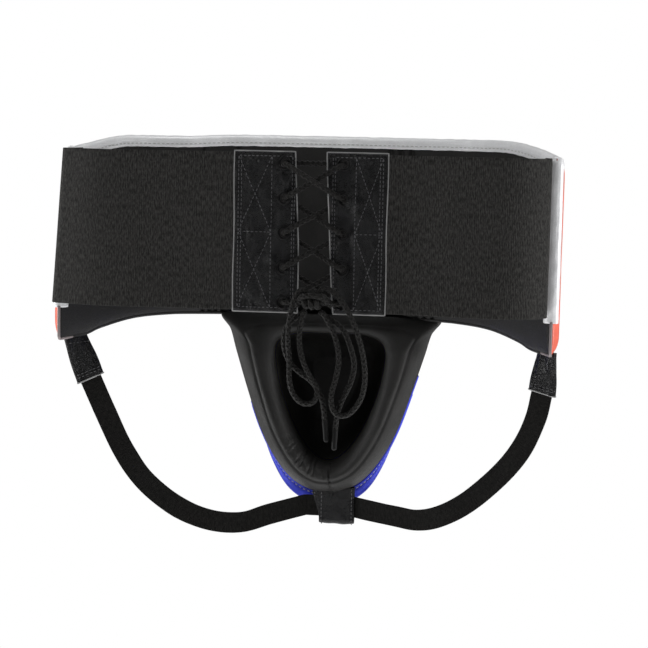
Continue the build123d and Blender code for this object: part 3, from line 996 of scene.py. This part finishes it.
class PROTECTOR_OT_lace_tabs(bpy.types.Operator):
    """Make the glossy lace tabs with their cut edges, stitching and eyelets"""

    bl_idname = "protector.lace_tabs"
    bl_label = "Lace tabs"

    def execute(self, context):
        for name, side in SIDES:
            self.leaf(name, side, -1)
            self.leaf(name, side, 1)
            self.edges(name, side)
            self.stitching(name, side)
            self.rings(name, side)
        return {"FINISHED"}

    def leaf(self, name, side, face):
        """The front (-1) or back (1) leather of a tab, with real holes under the eyelets."""
        def place(u, v):
            low, high = tab_width_at(v, side)
            x = low + (high - low) * u
            z = TAB_HALF * (2 * v - 1)
            return Vector((side * x, TAB_Y + face * tab_stand(x, z, side, face), z))

        bm = surface(64, 150, place, (0.048, 2 * TAB_HALF))
        middles = {f: f.calc_center_median() for f in bm.faces}
        in_holes = [f for f, c in middles.items()
                    if any(math.hypot(abs(c.x) - EYELET_X, c.z - z) < EYELET_BORE + 0.0005
                           for z in eyelet_heights())]
        bmesh.ops.delete(bm, geom=in_holes, context="FACES")
        if side * face > 0:
            bmesh.ops.reverse_faces(bm, faces=bm.faces)
        nodes = (name + "_tab_outer", name + "_tab_core") if face < 0 else (name + "_tab_backing",)
        leaf = piece(f"{name}_tab_{'front' if face < 0 else 'lining'}_leather", bm, "tab",
                     body=name + "_lace_tab", instead=nodes, outward=False)
        thicken(leaf, TAB_LEATHER)

    def edges(self, name, side):
        """The raw edge of the three plies, a slightly paler welt round the tab."""
        outline = [(i / 59, 0.0) for i in range(60)]
        outline += [(1.0, i / 119) for i in range(1, 120)]
        outline += [(1 - i / 59, 1.0) for i in range(1, 60)]
        outline += [(0.0, 1 - i / 119) for i in range(1, 119)]
        line = []
        for u, v in outline:
            low, high = tab_width_at(v, side)
            line.append(Vector((side * (low + (high - low) * u), TAB_Y - 0.0006, TAB_HALF * (2 * v - 1))))
        bm = tube(line, CUT_EDGE_RADIUS, 8, closed=True)
        piece(name + "_tab_cut_edge", bm, "cut_edge", body=name + "_lace_tab")

    def stitching(self, name, side):
        bm = bmesh.new()
        inset = 0.0035
        high = TAB_HALF - inset
        inner = TAB_INNER_X + inset
        outer = TAB_OUTER_X[side] - inset
        box_in = EYELET_X + 0.0095
        upright = (outer, outer - 0.0022, box_in, inner, inner - 0.0018)
        rows = [((x, -high), (x, high)) for x in upright]
        rows += [
            ((inner, high), (outer, high)),
            ((inner, -high), (outer, -high)),
            ((box_in, -high), (outer, 0.0)), ((outer, -high), (box_in, 0.0)),
            ((box_in, 0.0), (outer, high)), ((outer, 0.0), (box_in, high)),
            ((box_in, 0.0), (outer, 0.0)),
        ]
        for a, b in rows:
            line = []
            for i in range(41):
                x, z = a[0] + (b[0] - a[0]) * i / 40, a[1] + (b[1] - a[1]) * i / 40
                line.append(Vector((side * x, TAB_Y - tab_stand(x, z, side, -1), z)))
            stitches(bm, line, lambda share, point: BACKWARD, lift=0.0001, step=0.0032, **FINE_STITCH)
        piece(name + "_tab_stitches", bm, "dark_thread", body=name + "_lace_tab")

    def rings(self, name, side):
        """Five eyelets spun from one lipped section."""
        bore, flange, face = EYELET_BORE, EYELET_FLANGE, TAB_FACE
        lip = 0.0007
        section = [(bore, -face), (bore, face - 0.0003), (bore + 0.0003, face + 0.0004),
                   (bore + 0.0009, face + lip), (flange - 0.0005, face + 0.0005), (flange, face + 0.0001),
                   (flange - 0.0004, face - 0.0002), (bore + 0.0006, face - 0.0003),
                   (bore + 0.0006, -face), (flange - 0.0003, -face - 0.0002), (flange, -face - 0.0004),
                   (bore + 0.0005, -face - 0.0006)]
        bm = bmesh.new()
        for z in eyelet_heights():
            centre = Vector((side * EYELET_X, TAB_Y, z))
            ring = [bm.verts.new(centre + Vector((r, -h, 0))) for r, h in section]
            edges = [bm.edges.new((a, b)) for a, b in zip(ring, ring[1:] + ring[:1])]
            bmesh.ops.spin(bm, geom=ring + edges, cent=centre, axis=(0, 1, 0), dvec=(0, 0, 0),
                           angle=2 * math.pi, steps=28, use_merge=True)
        bmesh.ops.remove_doubles(bm, verts=bm.verts, dist=1e-6)
        piece(name + "_eyelet_rings", bm, "eyelet", body=name + "_lace_tab",
              instead=(name + "_eyelets",))


# ---- lace ------------------------------------------------------------------------------------

def threaded_points():
    """The lace's route through both rows of holes, from the knot to the knot."""
    front, back = -LACE_LIFT, LACE_LIFT
    z = eyelet_heights()
    depths = {-1: (-0.0075, -0.0023, 0.0023, 0.0026), 1: (-0.0033, 0.0023, -0.0023, 0.0069)}
    halves = []
    for first in (-1, 1):
        side = first
        points = [(first * EYELET_X, back, z[0]), (first * EYELET_X, front, z[0])]
        for i, depth in enumerate(depths[first]):
            fall = z[i] - z[i + 1]
            from_back, to_back = i > 0, i == EYELET_COUNT - 2
            if from_back:
                points.append((side * 0.0115, back - 0.0001, z[i] - fall * 0.26))
            points.append((0, depth, (z[i] + z[i + 1]) / 2))
            if to_back:
                points.append((-side * 0.0115, back + 0.0001, z[i] - fall * 0.76))
            elif from_back:
                points.append((-side * 0.0115, front - 0.0002, z[i] - fall * 0.74))
            side = -side
            arrive, leave = (back, front) if to_back else (front, back)
            points += [(side * EYELET_X, arrive, z[i + 1]), (side * EYELET_X, leave, z[i + 1])]
        points.append((KNOT.x + side * 0.006, front - 0.0004, KNOT.z))
        halves.append(points)
    route = list(reversed(halves[0])) + [(0, back + 0.0005, z[0])] + halves[1]
    return [Vector((x, TAB_Y + y, height)) for x, y, height in route]


RIGHT_LOOP = (
    (0.005, -0.0452), (0.009, -0.0395), (0.0175, -0.0425), (0.025, -0.0505), (0.0325, -0.0635),
    (0.0385, -0.079), (0.0425, -0.0955), (0.0435, -0.112), (0.040, -0.1265), (0.030, -0.138),
    (0.0195, -0.136), (0.017, -0.122), (0.0215, -0.1075), (0.0235, -0.093), (0.0205, -0.078),
    (0.0145, -0.0655), (0.0095, -0.0586),
)
LEFT_LOOP = (
    (-0.001, -0.0450), (-0.0055, -0.0405), (-0.011, -0.0465), (-0.014, -0.0575), (-0.016, -0.070),
    (-0.0162, -0.083), (-0.0145, -0.096), (-0.0148, -0.109), (-0.0125, -0.121), (-0.0045, -0.1295),
    (0.0055, -0.128), (0.008, -0.118), (0.0015, -0.108), (-0.0045, -0.097), (-0.0075, -0.084),
    (-0.0075, -0.071), (-0.0045, -0.0586),
)
RIGHT_TAIL = (
    (0.007, -0.0584), (0.0145, -0.064), (0.0255, -0.071), (0.031, -0.084), (0.035, -0.098),
    (0.0325, -0.112), (0.026, -0.1245), (0.0215, -0.137), (0.021, -0.149),
)
LEFT_TAIL = (
    (-0.003, -0.0584), (-0.010, -0.063), (-0.0185, -0.0705), (-0.0205, -0.083), (-0.017, -0.096),
    (-0.0085, -0.105), (0.0015, -0.111), (0.0085, -0.120), (0.012, -0.131), (0.013, -0.143),
)


class PROTECTOR_OT_lace(bpy.types.Operator):
    """Make the threaded lace, the knot and the hanging bow"""

    bl_idname = "protector.lace"
    bl_label = "Lace and bow"

    def execute(self, context):
        self.threaded()
        self.knot()
        self.bow()
        return {"FINISHED"}

    def threaded(self):
        """The threaded lace in two halves, cut apart at the middle."""
        line = nurbs("lace_route", threaded_points())
        for name, side in SIDES:
            bm = cord_tube(line)
            geom = bm.verts[:] + bm.edges[:] + bm.faces[:]
            bmesh.ops.bisect_plane(bm, geom=geom, plane_co=(0, 0, 0), plane_no=(-side, 0, 0),
                                   dist=1e-7, clear_outer=True)
            close_ends(bm)
            half = piece(name + "_threaded_lace", bm, "lace", body=None,
                         instead=("threaded_lace",) if side < 0 else ())
            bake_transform(half)

    def knot(self):
        """Wraps round the crossing, and the strand that lies over them."""
        wraps = []
        turns, reach = 3.4, 0.0078
        for i in range(131):
            t = i / 130
            angle = 2 * math.pi * turns * t + 0.6
            size = 0.0034 * math.sqrt(max(1 - (2.0 * t - 1) ** 4, 0.05))
            wraps.append(KNOT + Vector((reach * (2 * t - 1), size * math.cos(angle),
                                        size * math.sin(angle))))
        piece("knot_wraps", cord_tube(wraps), "lace", instead=("lace_knot",))
        arch = nurbs("arch_route", [KNOT + Vector(p) for p in (
            (-0.0125, 0.0045, -0.0030), (-0.0120, 0.0010, 0.0010), (-0.0085, -0.0040, 0.0045),
            (-0.0015, -0.0052, 0.0062), (0.0065, -0.0050, 0.0050), (0.0115, -0.0020, 0.0015),
            (0.0135, 0.0040, -0.0020))])
        piece("knot_arch", cord_tube(arch), "lace")

    def bow(self):
        tips = {name: self.tip(name, flat) for name, flat in (("left", LEFT_TAIL), ("right", RIGHT_TAIL))}
        for name, flat, depth, end in (("left_bow_loop", LEFT_LOOP, LOOP_Y, "object"),
                                       ("right_bow_loop", RIGHT_LOOP, LOOP_Y, "object"),
                                       ("left_bow_tail", LEFT_TAIL, TAIL_Y, "fitting"),
                                       ("right_bow_tail", RIGHT_TAIL, TAIL_Y, "fitting")):
            line = nurbs(name + "_route", [Vector((x, depth, z)) for x, z in flat])
            cord = piece(name.replace("bow", "lace"), cord_tube(line), "lace", body="bow",
                         instead=(name,))
            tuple(line[0])
            Run(line).length

    def tip(self, name, flat):
        """The moulded sleeve on a tail's end, with a pressed seam and a rounded tip."""
        end, before = (Vector((x, TAIL_Y, z)) for x, z in (flat[-1], flat[-2]))
        away = (end - before).normalized()
        path = [end + away * (AGLET_LENGTH * i / 40 - 0.0004) for i in range(41)]

        def radius(u):
            pressed = 0.93 if 0.06 < u < 0.10 else 1
            rounding = math.sqrt(max(1 - max((u - 0.9) / 0.1, 0) ** 2, 0.02))
            return (AGLET_RADIUS + 0.00025 * (1 - u)) * rounding * pressed

        return piece(name + "_lace_tip", tube(path, radius, 16), "aglet", body="bow",
                     instead=(name + "_aglet",))


# ---- cup -------------------------------------------------------------------------------------

RIM_HALF = half_outline(RIM_OUTLINE)
WELL_HALF = half_outline(WELL_OUTLINE)
DOME_HALF = half_outline(DOME_OUTLINE)

RIM_SECTION = (
    (0.000, 0.00), (0.000, 0.16), (0.010, 0.30), (0.050, 0.43), (0.120, 0.57), (0.200, 0.70),
    (0.290, 0.81), (0.370, 0.88), (0.425, 0.895), (0.450, 0.875), (0.470, 0.915), (0.510, 0.975),
    (0.570, 1.01), (0.660, 1.00), (0.760, 0.94), (0.850, 0.83), (0.920, 0.67), (0.970, 0.46),
    (0.995, 0.24), (1.000, 0.00),
)
RIM_RUN = Run([Vector(p) for p in RIM_SECTION])


def rim_crest(z):
    """How far towards the wearer the rim reaches at a height."""
    return RIM_TOP_Y - (RIM_TOP_Z - z) * RIM_LEAN


def gathers(share, k):
    """Radial wrinkles where the leather is drawn round the lower left of the well."""
    where = (share - RIM_GATHERS) / 0.045
    wrinkle = math.sin(share * 2 * math.pi * 62 + 1.5 * math.sin(share * 190))
    return 1.9 * math.exp(-where ** 2) * smooth((k - 0.48) / 0.2) * wrinkle


def rim_point(share, v):
    """A place on the padded rim: share runs round it, v from its outer joint to the well."""
    section = RIM_RUN.at(v)
    k, rise = section.x, section.y
    outer = loop_point(RIM_HALF, share)
    inner = loop_point(WELL_HALF, share)
    spot = outer.lerp(inner, k)
    crest = rim_crest(spot.y)
    y = RIM_JOINT_Y - (RIM_JOINT_Y - crest) * rise
    free = smooth(rise * 2)
    y += free * 0.0006 * ripple(spot.x, spot.y, 2.0, 0.020)
    y += free * 0.0007 * gathers(share, k)
    seam = 2.2 * math.exp(-((share - RIM_SEAM) / 0.0014) ** 2) * smooth((k - 0.05) / 0.10)
    y += 0.0016 * seam * free
    return Vector((spot.x, y, spot.y))


def bowl_line(steps):
    """The bowl's side from its open edge to the middle of its bottom: (depth, scale) pairs."""
    points = catmull([Vector(step) for step in steps], 12)
    last = points[-1]
    for i in range(1, 9):
        t = i / 8
        points.append(Vector((last.x + 0.0012 * math.sin(t * math.pi / 2),
                              last.y * math.cos(t * math.pi / 2))))
    return Run([Vector((p.x, p.y * BOWL_SCALE)) for p in points])


def half_share(u, side):
    """The outline's share at u, from the top middle down one side to the bottom."""
    return 0.5 * u if side > 0 else 1 - 0.5 * u


def bowl_point(line, half, centre, share, v, tight=1.0):
    """Where a bowl's side is at share v of its line, as (x, z), and its depth."""
    step = line.at(v)
    edge = loop_point(half, share)
    return centre + (edge - centre) * (step.y / BOWL_SCALE * tight), step.x


def face_out(obj, towards):
    """Turns an open skin so that most of it faces one way."""
    total = sum((p.normal * p.area for p in obj.data.polygons), Vector())
    if total.dot(towards) < 0:
        obj.data.flip_normals()


def cup_seam(share, part):
    """A place on the joint between rim and dome, part of the way from one outline to the other."""
    return loop_point(RIM_HALF, share).lerp(loop_point(DOME_HALF, share), part)


class PROTECTOR_OT_cup(bpy.types.Operator):
    """Make the padded rim, the lined well and the outer dome of the cup"""

    bl_idname = "protector.cup"
    bl_label = "Cup"

    def execute(self, context):
        self.rim()
        self.well()
        self.dome()
        self.welt()
        self.flange()
        return {"FINISHED"}

    def rim(self):
        for name, side in SIDES:
            def place(u, v, side=side):
                return rim_point(half_share(u, side), v)

            nodes = (name + "_rim_cover",) + (("rim_pad",) if side < 0 else ())
            cushion = piece(name + "_rim_cushion", surface(230, 60, place, (0.5, 0.1)), "rim",
                            instead=nodes, outward=False)
            face_out(cushion, BACKWARD)

    def well(self):
        line = bowl_line(WELL_STEPS)
        for name, side in SIDES:
            def place(u, v, side=side):
                spot, depth = bowl_point(line, WELL_HALF, WELL_CENTRE, half_share(u, side), v, 0.992)
                dent = 0.0012 * math.exp(-((spot.x - CUP_X) / 0.0014) ** 2)
                y = depth + dent - 0.0008 * ripple(spot.x, spot.y, 6.0, 0.018) * smooth(v * 6)
                return Vector((spot.x, min(y, WELL_DEPTH), spot.y))

            nodes = (name + "_well_lining",) + (("cup_shell",) if side < 0 else ())
            bowl = piece(name + "_well_leather", surface(110, 60, place, (0.3, 0.1), seal=1e-5), "black",
                         instead=nodes, outward=False)
            face_out(bowl, BACKWARD)

    def dome(self):
        line = bowl_line(DOME_STEPS)
        for name, side in SIDES:
            def place(u, v, side=side):
                spot, depth = bowl_point(line, DOME_HALF, DOME_CENTRE, half_share(u, side), v)
                dent = 0.0014 * math.exp(-((spot.x - CUP_X) / 0.0016) ** 2)
                y = depth - dent - 0.0006 * ripple(spot.x, spot.y, 8.0, 0.03)
                if spot.y > PANEL_FOOT_Z:
                    y = max(y, FRONT_Y + 0.0058 - (spot.x - PANEL_X) ** 2 / 0.72)
                return Vector((spot.x, min(y, DOME_DEPTH), spot.y))

            nodes = (name + "_cup_cover",) + (("cup_foam",) if side < 0 else ())
            shell = piece(name + "_cup_leather", surface(150, 70, place, (0.3, 0.1), seal=1e-5), "blue",
                          instead=nodes, outward=False)
            face_out(shell, -BACKWARD)

    def welt(self):
        """The rolled joint between rim and cup, round the lower part."""
        joint = []
        for i in range(115, 275):
            spot = cup_seam(i / 400, 0.15)
            joint.append(Vector((spot.x, RIM_JOINT_Y - 0.0006, spot.y)))
        piece("cup_joint_welt", tube(joint, WELT_RADIUS, 10), "blue")

    def flange(self):
        """The blue seam allowance that stands out round the rim, sewn with pale thread."""
        def place(u, v):
            wide = v * smooth(u / 0.2) * smooth((1 - u) / 0.2)
            spot = cup_seam(0.26 + 0.43 * u, -0.04 + 1.02 * wide)
            roll = 0.0014 * math.sin(math.pi * min(v * 1.2, 1))
            return Vector((spot.x, RIM_JOINT_Y - roll - 0.0002, spot.y))

        flange = piece("cup_seam_allowance", surface(260, 8, place, (0.4, 0.01)), "blue",
                       outward=False)
        face_out(flange, BACKWARD)
        thicken(flange, 0.001)
        line = []
        for i in range(201):
            spot = cup_seam(0.31 + 0.34 * i / 200, 0.30)
            line.append(Vector((spot.x, RIM_JOINT_Y - 0.0013, spot.y)))
        bm = bmesh.new()
        stitches(bm, line, lambda share, point: BACKWARD, lift=0.0001)
        piece("cup_seam_stitches", bm, "pale_thread")


# ---- leg straps ------------------------------------------------------------------------------

def keeper_mouth(side):
    """Where a leg strap leaves the keeper."""
    return Vector((KEEPER_X + side * MOUTH_X, KEEPER_Y, MOUTH_Z))


def strap_frame(side):
    """The upright plane of a leg strap: its origin, its level direction and its normal."""
    start = keeper_mouth(side)
    along = TAB_MOUTH[side] - start
    along = Vector((along.x, along.y, 0)).normalized()
    return Vector((start.x, start.y, 0)), along, along.cross(Vector((0, 0, 1)))


def strap_run(side):
    """The strap's middle line from inside the keeper to inside its tab."""
    origin, along, _ = strap_frame(side)
    start, end = keeper_mouth(side), TAB_MOUTH[side]
    stretch = math.hypot(end.x - start.x, end.y - start.y) / (end.x - start.x)
    flat = [(0.0, start.z)]
    flat += [((x - start.x) * stretch, z) for x, z in STRAP_POINTS[side]]
    flat.append(((end.x - start.x) * stretch, end.z))
    line = catmull([Vector(p) for p in flat], 12)
    last = (line[-1] - line[-2]).normalized()
    line.append(line[-1] + last * 0.007)
    points = [origin + along * p.x + Vector((0, 0, p.y)) for p in line]
    return Run([Vector((KEEPER_X, KEEPER_Y, MOUTH_Z)),
                Vector((KEEPER_X + side * 0.009, KEEPER_Y, MOUTH_Z + 0.0001))] + points)


def sleeve(angle):
    """A flat sleeve's rounded section: shares across it and out of it, from -1 to 1."""
    c, s = math.cos(angle), math.sin(angle)
    return abs(c) ** 0.35 * math.copysign(1, c), abs(s) ** 0.6 * math.copysign(1, s)


class PROTECTOR_OT_leg_straps(bpy.types.Operator):
    """Make the two leg straps, their sewn tabs and the keeper under the cup"""

    bl_idname = "protector.leg_straps"
    bl_label = "Leg straps"

    def execute(self, context):
        for name, side in SIDES:
            self.ribbon(name, side)
            self.tab(name, side)
        self.keeper()
        return {"FINISHED"}

    def ribbon(self, name, side):
        run = strap_run(side)
        _, _, flat_normal = strap_frame(side)

        def place(u, v):
            point, heading = run.at(u), run.heading(u, 0.006)
            across = heading.cross(flat_normal).normalized()
            width = STRAP_WIDTH * (1 + 0.02 * ripple(u * run.length, side, 0.0, 0.02))
            free = smooth(u / 0.12) * smooth((1 - u) / 0.08)
            bend = 0.0012 * ripple(u * run.length, v * 0.02, side * 2.5, 0.035) * free
            return point + across * width * (v - 0.5) + flat_normal * bend

        nodes = (name + "_leg_strap", name + "_strap_end") + (("keeper_strap",) if side < 0 else ())
        ribbon = piece(name + "_leg_ribbon", surface(220, 12, place, (run.length, STRAP_WIDTH)), "strap",
                       body=None, instead=nodes, outward=False)
        thicken(ribbon, STRAP_THICK, 0.0, 0.0004)
        start, end = keeper_mouth(side), TAB_MOUTH[side]
        axis = (end - start).normalized()
        down = (Vector((0, 0, -1)) + axis * axis.z).normalized()
        start + down * 0.025
        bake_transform(ribbon)

    def tab(self, name, side):
        """The folded leather sleeve that holds the strap's end at the panel's lower edge."""
        flat_normal = strap_frame(side)[2]
        run = strap_run(side)
        mouth = TAB_MOUTH[side]
        upward = run.heading(0.985, 0.006)
        across_low = upward.cross(flat_normal).normalized()
        top, _, heading = plan(side * (HALF_RUN - STRAP_TAB_FROM_END[side]))
        across_high = heading if heading.dot(across_low) > 0 else -heading
        high = top + Vector((0, 0, STRAP_TAB_TOP_Z + 0.003))
        low = mouth - upward * 0.0012
        half_width, half_thick = STRAP_TAB_WIDTH / 2, STRAP_TAB_THICK / 2

        def frame_at(v):
            centre = low.lerp(high, v)
            across = across_low.lerp(across_high, smooth(v)).normalized()
            lengthways = (high - low).normalized()
            return centre, across, lengthways.cross(across).normalized()

        def place(u, v):
            centre, across, out = frame_at(v)
            flat, rise = sleeve(2 * math.pi * u)
            fold = 0.0007 * math.sin(2.2 * math.pi * flat + v * 2.0) * (1 - flat ** 4)
            face = math.copysign(1.0, math.sin(2 * math.pi * u))
            crumple = 0.0005 * ripple(flat * 0.011, v * 0.03, side * 3.3 + face, 0.007)
            uneven = (fold + crumple) * abs(math.sin(2 * math.pi * u)) ** 0.5
            return centre + across * half_width * flat + out * (half_thick * rise + uneven)

        bm = surface(72, 40, place, (0.05, 0.036))
        close_ends(bm)
        piece(name + "_strap_holder", bm, "tab", instead=(name + "_strap_tab",))
        bm = bmesh.new()
        for level in (0.10, 0.16, 0.80):
            centre, across, out = frame_at(level)
            for face in (-1, 1):
                line = [centre + across * half_width * (i / 10 - 1) * 0.9
                        + out * face * (half_thick + 0.0003) for i in range(21)]
                stitches(bm, line, lambda share, point, f=out * face: f, step=0.0031, **FINE_STITCH)
        piece(name + "_strap_holder_stitches", bm, "dark_thread")
        centre, across, out = frame_at(0.0)
        section = [sleeve(2 * math.pi * i / 48) for i in range(48)]
        rim = [centre + across * half_width * flat + out * half_thick * rise for flat, rise in section]
        piece(name + "_strap_holder_cut_edge", tube(rim, CUT_EDGE_RADIUS, 6, closed=True), "cut_edge")

    def keeper(self):
        """A leather strip folded under the straps, both legs sewn to the rim."""
        bottom, top = KEEPER_BOTTOM + KEEPER_REACH, KEEPER_TOP
        middle = KEEPER_X + KEEPER_SHIFT
        line = [Vector((0, KEEPER_Y - KEEPER_REACH, top + (bottom - top) * i / 12)) for i in range(13)]
        for i in range(1, 12):
            angle = math.pi * i / 12
            line.append(Vector((0, KEEPER_Y - KEEPER_REACH * math.cos(angle),
                                bottom - KEEPER_REACH * math.sin(angle))))
        line += [Vector((0, KEEPER_Y + KEEPER_REACH, bottom + (top - bottom) * i / 12)) for i in range(13)]
        run = Run(line)

        def place(u, v):
            point, heading = run.at(u), run.heading(u, 0.02)
            out = Vector((0, heading.z, -heading.y))
            x = 2 * v - 1
            raised = smooth((point.z - bottom) / (top - bottom)) * (1 - v)
            curl = 0.0009 * x ** 4
            wave = 0.0006 * ripple(x * 0.016, point.z, point.y, 0.009)
            sideways = middle + x * KEEPER_HALF * (1 + 0.06 * raised) - 0.005 * raised
            return Vector((sideways, 0, 0)) + point + out * (wave - curl)

        bm = surface(90, 30, place, (run.length, 2 * KEEPER_HALF))
        strip = piece("keeper_leather", bm, "tab", instead=("keeper",), outward=False)
        thicken(strip, KEEPER_LEATHER, 0.0, 0.0003)

        def outwards(point):
            return (point - Vector((point.x, KEEPER_Y, max(point.z, bottom)))).normalized()

        bm = bmesh.new()
        for x in (-1, 1):
            edge = Vector((middle + x * (KEEPER_HALF - 0.002), 0, 0))
            row = [run.at(i / 60) + edge for i in range(61)]
            row = [p + outwards(p) * 0.0008 for p in row]
            stitches(bm, row, lambda share, point: outwards(point), step=0.0031, **FINE_STITCH)
        piece("keeper_stitches", bm, "dark_thread")


# ---- stage -----------------------------------------------------------------------------------

class PROTECTOR_OT_stage(bpy.types.Operator):
    """Make the floor, the soft studio light and the camera"""

    bl_idname = "protector.stage"
    bl_label = "Stage"

    def execute(self, context):
        scene = context.scene
        self.floor(scene)
        self.lights(scene)
        self.camera(scene)
        scene.view_settings.view_transform = "Standard"
        return {"FINISHED"}

    def floor(self, scene):
        bm = bmesh.new()
        bmesh.ops.create_grid(bm, x_segments=2, y_segments=2, size=1.2)
        bmesh.ops.translate(bm, verts=bm.verts, vec=(0, 0, CAD_BOX[0][2] - 0.6))
        mesh = bpy.data.meshes.new("floor")
        bm.to_mesh(mesh)
        bm.free()
        s = Shader("pale_floor", Roughness=0.9, Specular_IOR_Level=0.0, Emission_Strength=0.9)
        s.surface.inputs["Emission Color"].default_value = (1, 1, 1, 1)
        s.surface.inputs["Base Color"].default_value = (0.9, 0.9, 0.9, 1.0)
        mesh.materials.append(s.material)
        obj = bpy.data.objects.new("floor", mesh)
        scene.collection.objects.link(obj)

    def lights(self, scene):
        world = bpy.data.worlds.new("white_studio")
        world.use_nodes = True
        tree = world.node_tree
        background = tree.nodes["Background"]
        background.inputs[0].default_value = (1, 1, 1, 1)
        seen = tree.nodes.new("ShaderNodeLightPath")
        strength = tree.nodes.new("ShaderNodeMapRange")
        strength.inputs["To Min"].default_value = 0.075
        strength.inputs["To Max"].default_value = 1.0
        tree.links.new(seen.outputs["Is Camera Ray"], strength.inputs["Value"])
        tree.links.new(strength.outputs[0], background.inputs[1])
        scene.world = world
        for name, spot, size, power in (("key", (-1.2, -1.0, 0.9), 0.35, 6.0),
                                        ("right_side", (1.6, -0.10, 0.0), 0.6, 17.0),
                                        ("left_side", (-1.6, -0.05, -0.1), 0.6, 17.0),
                                        ("front", (0.5, -1.6, 0.5), 0.35, 4.0),
                                        ("top", (0.1, 0.2, 1.6), 0.6, 9.0)):
            light = bpy.data.lights.new(name, "AREA")
            light.shape = "DISK"
            light.size = size
            light.energy = power
            obj = bpy.data.objects.new(name, light)
            obj.location = spot
            obj.rotation_mode = "QUATERNION"
            obj.rotation_quaternion = (Vector((0, 0, -0.08)) - Vector(spot)).to_track_quat("-Z", "Y")
            scene.collection.objects.link(obj)

    def camera(self, scene):
        azimuth, elevation, roll = math.radians(6.5), math.radians(6.5), math.radians(1.2)
        distance = 1.4
        target = Vector((0.0021, 0.0, -0.0767))
        back = Vector((math.sin(azimuth) * math.cos(elevation), -math.cos(azimuth) * math.cos(elevation),
                       math.sin(elevation)))
        data = bpy.data.cameras.new("camera")
        data.sensor_width = 36.0
        data.lens = 97.2
        camera = bpy.data.objects.new("camera", data)
        camera.rotation_mode = "QUATERNION"
        camera.location = target + back * distance
        camera.rotation_quaternion = (-back).to_track_quat("-Z", "Y") @ Quaternion((0, 0, 1), roll)
        scene.collection.objects.link(camera)
        scene.camera = camera


class PROTECTOR_PT_sidebar(bpy.types.Panel):
    """Buttons that make each part of the protector"""

    bl_idname = "PROTECTOR_PT_sidebar"
    bl_label = "Groin protector"
    bl_space_type = "VIEW_3D"
    bl_region_type = "UI"
    bl_category = "Protector"

    def draw(self, context):
        for operator in OPERATORS:
            self.layout.operator(operator.bl_idname)
        for group in (context.scene.protector_sizes, context.scene.protector_colours):
            for key in type(group).__annotations__:
                self.layout.prop(group, key)


OPERATORS = (PROTECTOR_OT_stage, PROTECTOR_OT_lace, PROTECTOR_OT_waist_panel, PROTECTOR_OT_back_band,
             PROTECTOR_OT_lace_tabs, PROTECTOR_OT_cup, PROTECTOR_OT_leg_straps)
CLASSES = (ProtectorSizes, ProtectorColours) + OPERATORS + (PROTECTOR_PT_sidebar,)


def register():
    for cls in CLASSES:
        bpy.utils.register_class(cls)
    bpy.types.Scene.protector_sizes = PointerProperty(type=ProtectorSizes)
    bpy.types.Scene.protector_colours = PointerProperty(type=ProtectorColours)


def unregister():
    del bpy.types.Scene.protector_sizes
    del bpy.types.Scene.protector_colours
    for cls in reversed(CLASSES):
        bpy.utils.unregister_class(cls)


def main():
    register()
    FINISHES.update(make_materials())
    for operator in OPERATORS:
        group, name = operator.bl_idname.split(".")
        getattr(getattr(bpy.ops, group), name)()
    bpy.context.view_layer.update()


if __name__ == "__main__":
    main()
